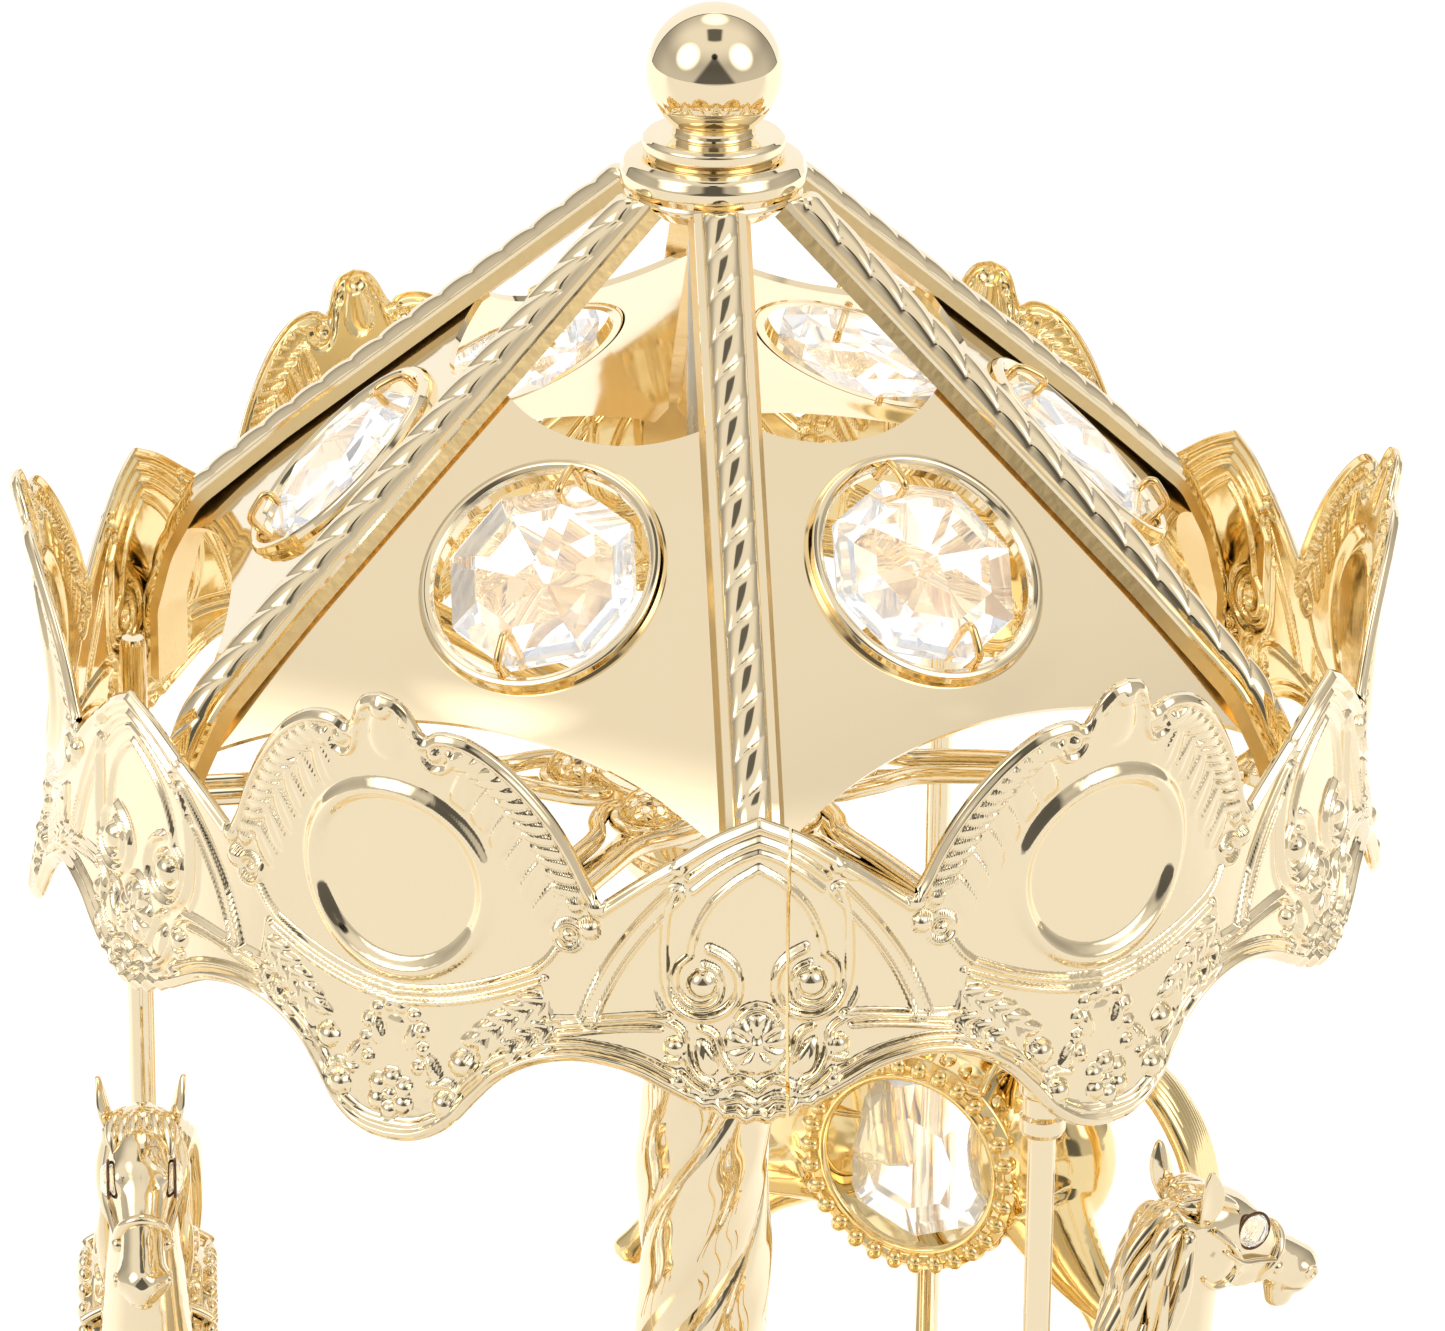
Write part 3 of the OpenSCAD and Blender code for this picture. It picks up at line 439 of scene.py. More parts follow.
def oval_relief(b, z):
    r = np.hypot(b, z - 134.7)
    shapes = [0.7 * bump(r - 7.6, 1.15)] + ridges(b, z, [
        ([(0, 125.35), (4, 125.95), (8, 127.2), (11.4, 128.7)], 0.42, 0.5),
        ([(0, 124.45), (4, 125.05), (8, 126.2), (11.9, 127.8)], 0.38, 0.42),
        ([(11.4, 128.7), (12.4, 129.6), (13.3, 130.8)], 0.42, 0.45),
        ([(12.3, 128.1), (12.5, 126.3), (12.8, 124.8)], 0.36, 0.36),
        ([(12.8, 124.9), (14.9, 125.1)], 0.34, 0.34),
        ([(2.5, 147.3), (2.75, 145.9), (3.4, 144.9), (4.4, 144.7), (5.25, 145.4), (5.2, 146.3)], 0.4, 0.42),
        ([(3.3, 118.3), (4.9, 118.5), (5.65, 117.3), (5.2, 116.0), (4.0, 115.5)], 0.36, 0.42),
        ([(0, 114.75), (2.2, 115.0), (4.2, 116.0)], 0.36, 0.4),
        ([(6.9, 120.0), (8.6, 120.0), (10.6, 121.2), (12.8, 122.6)], 0.4, 0.4),
    ])
    shapes.append(0.45 * bump(np.hypot(b - 14.2, z - 131.9) - 1.1, 0.42))
    for c, s in [((14.2, 131.9), 0.5), ((15.8, 132.6), 0.85), ((14.7, 134.6), 0.7), ((16.3, 134.4), 0.75),
                 ((4.0, 146.1), 0.6), ((0, 149.4), 0.85), ((1.75, 148.5), 0.42), ((2.5, 147.3), 0.45),
                 ((5.8, 120.4), 0.95), ((4.5, 117.0), 0.9), ((0, 117.0), 0.5)]:
        shapes.append(bead(b, z, c, s))
    for k in range(6):
        t = math.radians(60 * k)
        shapes.append(bead(b, z, (1.25 * math.sin(t), 117.0 + 1.25 * math.cos(t)), 0.74, 0.75))
    shapes.append(leaf(b, z, (0, 147.3), 90, 2.4, 1.3, 0.28, 0))
    # ribbed row along the edge
    outline = OVAL_TOP[(OVAL_TOP[:, 0] > 6.3) & (OVAL_TOP[:, 0] < 16.2)]
    run = np.concatenate([[0], np.cumsum(np.hypot(*np.diff(outline, axis=0).T))])
    for s in np.arange(0.9, run[-1] - 0.3, 1.22):
        p = np.array([np.interp(s, run, outline[:, 0]), np.interp(s, run, outline[:, 1])])
        q = np.array([np.interp(s + 0.1, run, outline[:, 0]), np.interp(s + 0.1, run, outline[:, 1])])
        t = (q - p) / np.hypot(*(q - p))
        inward = np.array([-t[1], t[0]])
        inward = inward if inward @ (np.array([0, 134.7]) - p) > 0 else -inward
        d = 0.78 * inward + 0.62 * t
        c = p + 1.75 * inward + 0.3 * t
        shapes.append(leaf(b, z, c, math.degrees(math.atan2(d[1], d[0])), 1.45, 0.5, 0.5, 0.25))
    for c, t in [((6.0, 143.2), 76), ((7.6, 141.7), 73), ((9.1, 140.0), 70), ((10.4, 138.2), 68),
                 ((11.6, 136.4), 66), ((12.7, 134.7), 62)]:
        shapes.append(np.clip((r - 8.7) / 0.7, 0, 1) * leaf(b, z, c, t, 2.3, 0.85, 0.34, 0.45))
    # garland of paired leaves
    for line, n, size in [([(12.1, 126.2), (10.2, 124.9), (8.2, 123.2), (6.7, 121.5)], 5, 1.4),
                          ([(12.5, 124.2), (10.6, 123.0), (8.8, 121.6)], 3, 1.1)]:
        p = curve(line, 12)
        for k in range(n):
            i = int((k + 0.5) / n * (len(p) - 2))
            t = p[i + 1] - p[i]
            g = math.degrees(math.atan2(t[1], t[0]))
            for s in (-1, 1):
                off = np.array([-t[1], t[0]]) / np.hypot(*t) * 0.5 * s
                shapes.append(leaf(b, z, p[i] + off, g + 35 * s, 0.95 * size, 0.42 * size, 0.5, 0.3))
    for c in curve([(0.5, 124.0), (1.6, 123.5), (2.35, 122.4), (2.5, 120.9), (2.2, 119.4)], 1):
        shapes.append(bead(b, z, c, 0.52, 0.9))
    shapes.append(leaf(b, z, (1.5, 121.8), 80, 1.2, 0.5, 0.5, 0.3))
    shapes.append(leaf(b, z, (3.4, 119.6), 120, 1.2, 0.5, 0.45, 0.3))
    return highest(shapes)


def relief(u, z):
    a = np.abs((np.asarray(u) + HALF) % (2 * HALF) - HALF)
    h = shared_relief(a, z)
    near = a < 9.2
    h[near] = np.maximum(h[near], arch_relief(a[near], z[near]))
    side = a > 11.0
    h[side] = np.maximum(h[side], oval_relief(HALF - a[side], z[side]))
    return h


def wall_point(u, z, h):
    r = wall_radius(z)
    m = (wall_radius(z + 0.1) - wall_radius(z - 0.1)) / 0.2
    k = 1 / np.sqrt(1 + m * m)
    rr, zz = r + h * k, z - h * m * k
    t = FRONT + u / ARC
    return np.stack([rr * np.cos(t), rr * np.sin(t), zz], -1)


def unit(v):
    return v / (np.linalg.norm(v, axis=-1, keepdims=True) + 1e-12)


def lobe(u0, u1, rows=150):
    n = int(round((u1 - u0) / LOBE_STEP))
    du = (u1 - u0) / n
    u = u0 + du * np.arange(-1, n + 2)
    a = np.abs((u + HALF) % (2 * HALF) - HALF)
    lo, hi = low_edge(a), top_edge(a)
    f = np.linspace(0, 1, rows)
    z = lo[:, None] + (hi - lo)[:, None] * f[None, :]
    uu = np.repeat(u[:, None], rows, 1)
    h = relief(uu, z)
    front = wall_point(uu, z, h)
    back = wall_point(uu, z, h * 0.9 - 0.5)
    nf = unit(np.cross(np.gradient(front, axis=0), np.gradient(front, axis=1)))
    nb = -unit(np.cross(np.gradient(back, axis=0), np.gradient(back, axis=1)))
    front, back, nf, nb = (x[1:-1] for x in (front, back, nf, nb))
    cols = n + 1
    verts = [front.reshape(-1, 3), back.reshape(-1, 3)]
    norms = [nf.reshape(-1, 3), nb.reshape(-1, 3)]
    groups, index = [], []
    g = grid_faces(cols, rows)
    groups += [g, g[:, ::-1] + cols * rows]
    # painted shade: the back face takes material 1, the darker shaded copy of the gold
    index += [np.zeros(len(g)), np.ones(len(g))]
    base = 2 * cols * rows
    for row, sign in ((rows - 1, 1), (0, -1)):
        f0, b0, n0 = front[:, row], back[:, row], nf[:, row]
        t = unit(np.gradient(f0, axis=0))
        out = unit(np.cross(n0, t)) * -1
        out = out * np.sign((out[:, 2:3] * sign) + 1e-9)
        k = 5
        ang = np.linspace(-math.pi / 2, math.pi / 2, k)
        mid, half = (f0 + b0) / 2, (f0 - b0) / 2
        across, outward = np.sin(ang)[None, :, None], np.cos(ang)[None, :, None]
        ring = mid[:, None] + half[:, None] * across + out[:, None] * 0.22 * outward
        nr = n0[:, None] * across + out[:, None] * outward
        verts.append(ring.reshape(-1, 3))
        norms.append(unit(nr).reshape(-1, 3))
        g = grid_faces(cols, k, flip=sign > 0)
        groups.append(g + base)
        index.append(np.zeros(len(g)))
        base += cols * k
    # painted shade: the lobe ends also take the darker shaded copy of the gold
    for col, sign in ((0, 1), (cols - 1, -1)):
        i = np.arange(rows - 1)
        p = col * rows
        q = np.stack([p + i, p + i + 1, cols * rows + p + i + 1, cols * rows + p + i], 1)
        groups.append(q if sign > 0 else q[:, ::-1])
        index.append(np.ones(len(q)))
    return (np.concatenate(verts), groups), np.concatenate(norms), np.concatenate(index)


def make_valance():
    for k in range(6):
        shift = 2 * HALF * k
        spans = [(-NOTCH, 2.2), (2.5, NOTCH)] if k == 0 else [(-NOTCH, NOTCH)]
        turn = rot_z(STEP * k)
        for j, (u0, u1) in enumerate(spans):
            # material 1 is the darker shaded copy of the gold: painted shade on back faces and ends
            s, n, idx = lobe(u0, u1)
            piece(f"valance_arch_{k + 1}{'ab'[j] if k == 0 else ''}", turned(s, turn),
                  [gold_relief, gold_shaded], nodes=["valance"], normals=n @ turn.T, index=idx)
        s, n, idx = lobe(NOTCH, 2 * HALF - NOTCH, rows=175)
        piece(f"valance_oval_{k + 1}", turned(s, turn), [gold_relief, gold_shaded], nodes=["valance"],
              normals=n @ turn.T, index=idx)


# ---------- canopy ----------

RIB_LINE = [(7.6, 174.4), (39.2, 147.9), (48, 140), (51, 134.6), (52.6, 129), (52.6, 122.5)]
MID = math.cos(STEP / 2)
SLOPE = math.atan2(174.4 - 147.9, (39.2 - 7.6) * MID)
HOLE_S, HOLE_R, RIM_R = 33.2, 8.8, 10.1
RIB_DEPTH, RIB_FOOT = 1.4, 2.5
PANEL_SINK = 0.85


def path_frames(pts, step):
    p = fillet(pts, [0, 40, 9, 14, 4, 0], 10)
    run = np.concatenate([[0], np.cumsum(np.hypot(*np.diff(p, axis=0).T))])
    s = np.linspace(0, run[-1], int(run[-1] / step) + 1)
    q = np.stack([np.interp(s, run, p[:, 0]), np.interp(s, run, p[:, 1])], 1)
    k = 7
    pad = np.concatenate([np.repeat(q[:1], k, 0), q, np.repeat(q[-1:], k, 0)])
    t = unit(pad[2 * k:] - pad[:-2 * k])
    return s, q, np.stack([-t[:, 1], t[:, 0]], 1)


def rib_shape():
    s, q, n = path_frames(RIB_LINE, 0.14)
    if n[0] @ np.array([1, 1]) < 0:
        n = -n
    x = np.concatenate([[-2.1, -2.06], np.linspace(-1.95, -1.5, 4), np.linspace(-1.44, 1.44, 27),
                        np.linspace(1.5, 1.95, 4), [2.06, 2.1]])
    S, X = np.meshgrid(s, x, indexing="ij")
    inside = np.abs(X) < 1.5
    arc = 1.2 * np.clip(1 - np.abs(X / 1.5) ** 2.5, 0, None) ** 0.5
    twist = np.arcsin(np.clip(X / 1.5, -1, 1)) / math.pi * 1.15
    ph = (S / 3.7 - twist) % 1.0
    strand = np.clip(np.sin(math.pi * ph), 0, 1) ** 0.5
    H = np.where(inside, arc * (0.76 + 0.24 * strand) + 0.02, 0) + 0.02
    H = H - 0.22 * np.clip(np.abs(X) - 1.5, 0, None) - 0.25 * (np.abs(X) > 2.08)
    end = np.clip(S / 1.2, 0, 1)
    H = np.where(inside, H * np.sqrt(end * (2 - end)), H)
    P = np.stack([q[:, 0][:, None] + n[:, 0][:, None] * H, -X, q[:, 1][:, None] + n[:, 1][:, None] * H], -1)
    low = np.repeat((q - n * RIB_DEPTH)[:, None], 2, 1)
    U = np.stack([low[..., 0], np.repeat([[RIB_FOOT, -RIB_FOOT]], len(q), 0), low[..., 1]], -1)
    m, k = len(s), len(x)
    v = np.concatenate([P.reshape(-1, 3), U.reshape(-1, 3), U.reshape(-1, 3), P[:, 0], P[:, -1]])
    top = grid_faces(m, k, flip=True)
    bot = grid_faces(m, 2) + m * k
    c = m * k + 2 * m
    i = np.arange(m - 1)
    l = np.stack([c + 2 * i, c + 2 * (i + 1), c + 2 * m + i + 1, c + 2 * m + i], 1)
    r = np.stack([c + 2 * i + 1, c + 3 * m + i, c + 3 * m + i + 1, c + 2 * (i + 1) + 1], 1)
    caps = []
    for row in (0, m - 1):
        loop = [row * k + j for j in range(k)] + [m * k + row * 2 + 1, m * k + row * 2]
        caps.append(np.array([loop if row == 0 else loop[::-1]]))
    return v, [top, bot, l[:, ::-1], r[:, ::-1]] + caps


def on_panel(v, i):
    c, s = math.cos(SLOPE), math.sin(SLOPE)
    v = np.asarray(v, float) + [HOLE_S, 0, -PANEL_SINK]
    x = c * v[:, 0] + s * v[:, 2] + 7.6 * MID
    z = -s * v[:, 0] + c * v[:, 2] + 174.4
    return np.stack([x, v[:, 1], z], 1) @ rot_z(FRONT + STEP * (i - 0.5)).T


def panel_drop(x, y):
    """How far the sheet falls below its flat: a soft belly, turned down at the lower corners."""
    s = x + HOLE_S
    over = np.clip(s - 37.5, 0, None)
    return -0.004 * over ** 2 + 0.12 * np.clip(1 - (y / 24.0) ** 2, 0, 1) * np.clip((s - 8) / 20, 0, 1)


def panel_outline():
    c = math.cos(SLOPE)

    def side(s):
        return (7.6 * MID + s * c) * math.tan(STEP / 2) - 1.1 / MID

    cs = 21.2 - 14.7
    t = np.linspace(0, 1.57, 400)
    xs, ys = cs + 14.7 * np.cos(t), 14.7 * np.sin(t)
    i = int(np.argmax(ys >= side(xs)))
    top = np.stack([xs[:i], ys[:i]], 1)
    ca = 46.4 + 45
    t = np.linspace(0, 0.9, 400)
    xa, ya = ca - 45 * np.cos(t), 45 * np.sin(t)
    j = int(np.argmax(ya >= side(xa) - 0.001))
    bottom = np.stack([xa[:j], ya[:j]], 1)
    top, bottom = (p[np.linspace(0, len(p) - 1, n).astype(int)] for p, n in ((top, 40), (bottom, 90)))
    s = np.linspace(top[-1, 0], bottom[-1, 0], 50)[1:-1]
    right = np.stack([s, side(s)], 1)
    half = np.concatenate([top, right, bottom[::-1]])
    full = np.concatenate([half, (half * [1, -1])[::-1][1:-1]])
    return full - [HOLE_S, 0]


def panel_shape():
    o = panel_outline()
    m = len(o)
    ang = np.arctan2(o[:, 1], o[:, 0])
    hole = np.stack([np.cos(ang), np.sin(ang)], 1)
    k = 22
    f = np.linspace(0, 1, k)
    r_in = RIM_R - 0.15
    P = hole[:, None] * r_in * (1 - f)[None, :, None] + o[:, None] * f[None, :, None]
    z = panel_drop(P[..., 0], P[..., 1])
    z0 = panel_drop(0 * z, 0 * z)
    near = np.clip(1 - (np.hypot(P[..., 0], P[..., 1]) - r_in) / 4.0, 0, 1)
    z = z * (1 - near ** 2) + z0 * near ** 2
    top = np.concatenate([P, z[..., None]], -1)
    low = np.concatenate([P, z[..., None] - 0.55], -1)
    g = grid_faces(m, k, wrap_u=True)
    edge_a, edge_b = top[:, -1], low[:, -1]
    v = np.concatenate([top.reshape(-1, 3), low.reshape(-1, 3), edge_a, edge_b])
    e = 2 * m * k
    i = np.arange(m)
    j = (i + 1) % m
    rim = np.stack([e + i, e + j, e + m + j, e + m + i], 1)
    # rolled rim
    prof = fillet([(8.85, -0.8), (8.85, 0.25), (9.1, 0.62), (9.5, 0.85), (9.9, 0.72), (10.15, 0.25),
                   (10.25, -0.4), (9.6, -0.9), (8.85, -0.8)], 0.3, 4)
    rv, rg = lathe(prof, 120)
    rv = rv + [0, 0, 0.35]
    return merge([(v, [g[:, ::-1], g + m * k, rim]), (rv, rg)])


def cut_stone(rings, sides=8):
    """Convex cut stone from rings of (radius, height, turn in half facets), as flat facets."""
    pts = []
    for r, z, turn in rings:
        if r == 0:
            pts.append((0, 0, z))
            continue
        for i in range(sides):
            t = (i + turn / 2) * 2 * math.pi / sides
            pts.append((r * math.cos(t), r * math.sin(t), z))
    bm = bmesh.new()
    for q in pts:
        bm.verts.new(q)
    bmesh.ops.convex_hull(bm, input=bm.verts)
    bmesh.ops.dissolve_limit(bm, angle_limit=0.01, verts=bm.verts, edges=bm.edges)
    bmesh.ops.recalc_face_normals(bm, faces=bm.faces)
    bm.verts.ensure_lookup_table()
    bm.verts.index_update()
    v = np.array([q.co[:] for q in bm.verts])
    sizes = {}
    for f in bm.faces:
        sizes.setdefault(len(f.verts), []).append([q.index for q in f.verts])
    bm.free()
    return v, [np.array(g) for g in sizes.values()]


def make_canopy():
    rib = rib_shape()
    # the rib's underside and side walls take the second material: rougher finish, darker tone painted shade
    sides = np.concatenate([np.full(len(g), 1 if 0 < k < 4 else 0) for k, g in enumerate(rib[1])])
    panel = panel_shape()
    stone = cut_stone([(0, 2.7, 0), (5.3, 1.9, 0), (8.05, 0.5, 0), (8.05, -0.5, 0), (5.3, -1.9, 0),
                       (0, -2.7, 0)])
    hooks = []
    for s in (-1, 1):
        e = HOLE_R - 6.1
        loop = curve([(s * 6.1, 0, -2.2), (s * 6.1, 0, 1.9), (s * 6.4, 0, 2.75), (s * 7.1, 0, 2.75),
                      (s * (6.1 + e - 0.2), 0, 2.2), (s * (6.1 + e), 0, 1.1),
                      (s * (6.1 + e - 0.1), 0, -0.3)], 6)
        hooks.append(tube(loop, 0.34, 12, up=(0, 1, 0)))
    hook = merge(hooks)
    for i in range(1, 7):
        piece(f"rib_look_{i}", turned(rib, rot_z(FRONT + STEP * (i - 1))), [gold_sheet, gold_edge_shade],
              nodes=[f"rib_{i}"], angle=38, index=sides)
        piece(f"panel_look_{i}", (on_panel(panel[0], i), panel[1]), gold_sheet, nodes=[f"panel_{i}"],
              angle=40)
        piece(f"crystal_look_{i}", (on_panel(stone[0], i), stone[1]), crystal_glass, nodes=[f"crystal_{i}"],
              smooth=False)
        piece(f"hook_look_{i}", (on_panel(hook[0], i), hook[1]), gold_wire, nodes=["crystal_hooks"])
    prof = fillet([(2.0, 172.2), (4.9, 172.2), (5.9, 173.2), (6.5, 173.6), (7.1, 173.6), (7.3, 174.0),
                   (7.15, 174.35), (7.5, 175.0), (7.55, 175.8), (7.2, 176.7), (6.5, 177.05), (5.6, 177.0),
                   (5.3, 176.7), (2, 176.7)],
                  [0, 0.3, 0.2, 0.3, 0.2, 0.25, 0.1, 0.6, 0.8, 0.7, 0.4, 0.3, 0.1, 0], 6)
    piece("collar_look", lathe(prof, 160), gold_turned, nodes=["collar_ring"], angle=40)
    prof = fillet([(2, 176.7), (5.2, 176.7), (5.3, 177.3), (5.75, 177.45), (5.8, 178.35), (5.4, 178.7),
                   (2, 178.7)], [0, 0.1, 0.15, 0.3, 0.4, 0.3, 0], 6)
    piece("cap_look", lathe(prof, 160), gold_turned, nodes=["cap_disc"], angle=40)
    t = np.linspace(-0.80, math.pi / 2, 60)
    ballp = np.stack([5.5 * np.cos(t), 183.9 + 5.5 * np.sin(t)], 1)
    ballp[-1, 0] = 0.001
    neck = fillet([(2, 178.7), (3.45, 178.7), (3.32, 178.95), (3.3, 179.5), (3.65, 179.75), (3.8, 179.9)],
                  [0, 0.1, 0.1, 0.2, 0.1, 0], 5)
    piece("finial_look", lathe(np.concatenate([neck, ballp]), 160), gold_turned, nodes=["finial_ball"],
          angle=40)


# ---------- column, spider and poles ----------

POLE_R = 47.4

def make_middle():
    n = 240
    z = np.linspace(47, 114, 420)
    t = np.arange(n) * 2 * math.pi / n
    Z, T = np.meshgrid(z, t, indexing="ij")
    ph = 3 * (T - 2 * math.pi * (Z - 47) / 48)
    R = 4.9 + 0.9 * np.abs(np.cos(ph / 2)) ** 0.42 + 0.10 * np.cos(2 * ph) * np.abs(np.cos(ph / 2))
    v = np.stack([R * np.cos(T), R * np.sin(T), Z], -1).reshape(-1, 3)
    piece("column_look", (v, [grid_faces(len(z), n, wrap_v=True)]), gold_turned, nodes=["column"], angle=60)
    prof = fillet([(2, 41), (10.5, 41), (10.5, 42.2), (9, 43), (8.4, 44.4), (7, 45.2), (7, 46.2), (6.2, 47),
                   (2, 47)], [0, 0.1, 0.5, 0.5, 0.5, 0.5, 0.4, 0.2, 0])
    piece("column_foot_look", lathe(prof, 128), gold_turned, nodes=["column_foot"], angle=40)
    prof = fillet([(2, 114), (6.2, 114), (7, 115), (7, 116), (6.4, 116.6), (7.6, 118.4), (8.4, 119.6),
                   (8.4, 121), (2, 121)], [0, 0.1, 0.5, 0.5, 0.4, 0.8, 0.4, 0.3, 0])
    piece("column_capital_look", lathe(prof, 128), gold_turned, nodes=["column_capital"], angle=40)

    dish = fillet([(2, 121), (9.2, 121), (10.2, 122.2), (9.8, 124.2), (8.6, 124.6), (7.2, 123.9),
                   (6.6, 124.4), (6.4, 126.2), (5.6, 126.7), (2, 126.5)],
                  [0, 0.5, 0.8, 0.6, 0.5, 0.5, 0.4, 0.4, 0.4, 0], 6)
    parts = [lathe(dish, 128)]
    for k in range(6):
        arm = [tube([(8, 0, 122.2), (30, 0, 122.2), (44.6, 0, 121.8)], 1.5, 16, 0.25)]
        for s in (-1, 1):
            arm.append(tube(curve([(8.5, s * 3.6, 122.3), (11, s * 4.1, 122.7), (14, s * 3.3, 123.0),
                                   (17, s * 1.9, 123.1), (22, s * 1.7, 123.0), (32, s * 1.5, 122.5),
                                   (44.6, s * 1.45, 122.0)], 10), 0.8, 16))
        arm.append(ball((10.8, 0, 123.0), (2.7, 2.7, 2.5), 40))
        arm.append(shifted(lathe(fillet([(2.5, 122.0), (3.1, 122.0), (3.4, 122.6), (3.2, 123.2),
                                         (2.6, 123.3), (2.4, 122.9)], 0.2, 4), 48), (10.8, 0, 0)))
        cup = fillet([(1.1, 121.2), (2.6, 121.2), (3.2, 121.8), (3.2, 122.9), (2.4, 123.5), (1.12, 123.7)],
                     [0, 0.3, 0.4, 0.4, 0.4, 0], 4)
        arm.append(shifted(lathe(cup, 48), (POLE_R, 0, 0)))
        arm.append(tube([(49.5, 0, 122.3), (54.4, 0, 122.3)], 1.2, 12))
        parts.append(turned(merge(arm), rot_z(FRONT + STEP * (k + 0.5))))
    piece("spider_look", merge(parts), gold_cast, nodes=["spider"], angle=50)

    for i in range(3):
        m = rot_z(FRONT + STEP / 2 + 2 * STEP * i)
        at = m @ np.array([POLE_R, 0, 0])
        shaft = lathe([(0.001, 38.6), (1.0, 38.6), (1.1, 38.7), (1.1, 135.4), (0.9, 135.9), (0.001, 136)], 48)
        piece(f"pole_look_{i + 1}", turned(shaft, m, at), gold_turned, nodes=[f"pole_{i + 1}"],
              angle=40)
        fer = fillet([(1.1, 109), (1.55, 109), (1.85, 109.5), (1.85, 110.6), (1.6, 110.9), (1.6, 112.4),
                      (1.9, 112.8), (1.9, 121.2), (1.12, 121.25)], 0.14, 4)
        piece(f"ferrule_look_{i + 1}", turned(lathe(fer, 64), m, at), gold_turned,
              nodes=["pole_ferrules"], angle=40)


# ---------- horses: local X forward, Y towards the axis, Z up, pole on the local Z axis ----------

HORSE_Z = 70.0     # middle of the horse's crystals, before it is lowered on its pole
HORSE_DROP = 1.8

def loft(stations, n=28, power=2.2):
    """Stations: (x, z, lean of the section in degrees, half height, half width). Sections stand across Y."""
    st = np.asarray(stations, float)
    q = curve(st, 7)
    t = np.arange(n) * 2 * math.pi / n
    c, s = np.cos(t), np.sin(t)
    cc = np.sign(c) * np.abs(c) ** (2 / power)
    ss = np.sign(s) * np.abs(s) ** (2 / power)
    rows = []
    for x, z, lean, ha, hb in q:
        a = math.radians(lean)
        d = np.array([math.cos(a), 0, math.sin(a)])
        rows.append(np.array([x, 0, z]) + ha * cc[:, None] * d + hb * ss[:, None] * np.array([0, 1, 0]))
    m = len(q)
    v = np.concatenate(rows + [np.array([[q[0][0], 0, q[0][1]], [q[-1][0], 0, q[-1][1]]])])
    k = np.arange(n)
    first = np.stack([np.full(n, m * n), k, (k + 1) % n], 1)
    last = np.stack([np.full(n, m * n + 1), (m - 1) * n + (k + 1) % n, (m - 1) * n + k], 1)
    return v, [grid_faces(m, n, wrap_v=True), first[:, ::-1], last[:, ::-1]]


def shifted(shape, d):
    return np.asarray(shape[0]) + np.asarray(d, float), shape[1]


def remeshed(shape, voxel, smooth):
    v, groups = shape
    me = bpy.data.meshes.new("scratch")
    faces = [tuple(int(i) for i in f) for g in groups for f in g]
    me.from_pydata((np.asarray(v) * MM).tolist(), [], faces)
    me.update()
    o = bpy.data.objects.new("scratch", me)
    bpy.context.scene.collection.objects.link(o)
    m = o.modifiers.new("r", "REMESH")
    m.mode = "VOXEL"
    m.voxel_size = voxel * MM
    k = o.modifiers.new("s", "SMOOTH")
    k.factor = 0.5
    k.iterations = smooth
    dg = bpy.context.evaluated_depsgraph_get()
    ev = o.evaluated_get(dg)
    out = ev.to_mesh()
    n = len(out.vertices)
    co = np.empty(n * 3, np.float32)
    out.vertices.foreach_get("co", co)
    quads = np.array([p.vertices[:] for p in out.polygons if len(p.vertices) == 4])
    tris = np.array([p.vertices[:] for p in out.polygons if len(p.vertices) == 3])
    ev.to_mesh_clear()
    bpy.data.objects.remove(o)
    bpy.data.meshes.remove(me)
    return co.reshape(-1, 3) / MM, [quads] + ([tris] if len(tris) else [])


def strand(pts, r, n=10, flat=0.75):
    p = curve(pts, 7)
    t = np.linspace(0, 1, len(p))
    rad = r * np.clip(np.sin(math.pi * np.clip(t * 0.86 + 0.10, 0, 1)), 0.12, 1)
    return tube(p, rad, n, flat)


def hoop(centre, rx, rz, n, r, sides):
    """Closed ring of wire standing in the X-Z plane."""
    t = np.linspace(0, 2 * math.pi, n + 1)[:-1]
    x, y, z = centre
    return tube(np.stack([x + rx * np.cos(t), np.full(n, y), z + rz * np.sin(t)], 1), r, sides, closed=True,
                up=(0, 1, 0))


def ear(side):
    """A thin upright petal whose blade lies along the head."""
    m, k = 22, 24
    f = np.linspace(0, 1, m)
    w = 1.15 * np.sin(math.pi * np.clip(0.10 + f * 0.86, 0, 1)) ** 0.65
    t = np.arange(k) * 2 * math.pi / k
    F, T = np.meshgrid(f, t, indexing="ij")
    W = w[:, None]
    x = 15.0 - 0.5 * F + W * np.cos(T)
    y = side * (2.1 + 1.4 * F ** 0.8 + 0.4 * (W * np.cos(T)) ** 2) + 0.4 * np.sin(T) * np.sqrt(W + 0.02)
    z = 99.5 + 5.3 * F
    v = np.stack([x, y, z], -1).reshape(-1, 3)
    tip = np.array([[14.5, side * 3.6, 104.95]])
    i = np.arange(k)
    last = np.stack([np.full(k, m * k), (m - 1) * k + (i + 1) % k, (m - 1) * k + i], 1)
    return np.concatenate([v, tip]), [grid_faces(m, k, wrap_v=True, flip=True), last]


def drum(r, half):
    prof = fillet([(r - 2.1, -half + 1.1), (r - 1.7, -half + 0.3), (r - 0.9, -half), (r, -half + 0.9),
                   (r, half - 0.9), (r - 0.9, half), (r - 1.7, half - 0.3), (r - 2.1, half - 1.1),
                   (r - 2.1, -half + 1.1)], 0.3, 3)
    v, g = lathe(prof, 96)
    return v @ np.array([[1, 0, 0], [0, 0, 1], [0, -1, 0]]) + [0, 0, HORSE_Z], g


def pair(c, r, n):
    return [ball((c[0], s * c[1], c[2]), r, n) for s in (1, -1)]


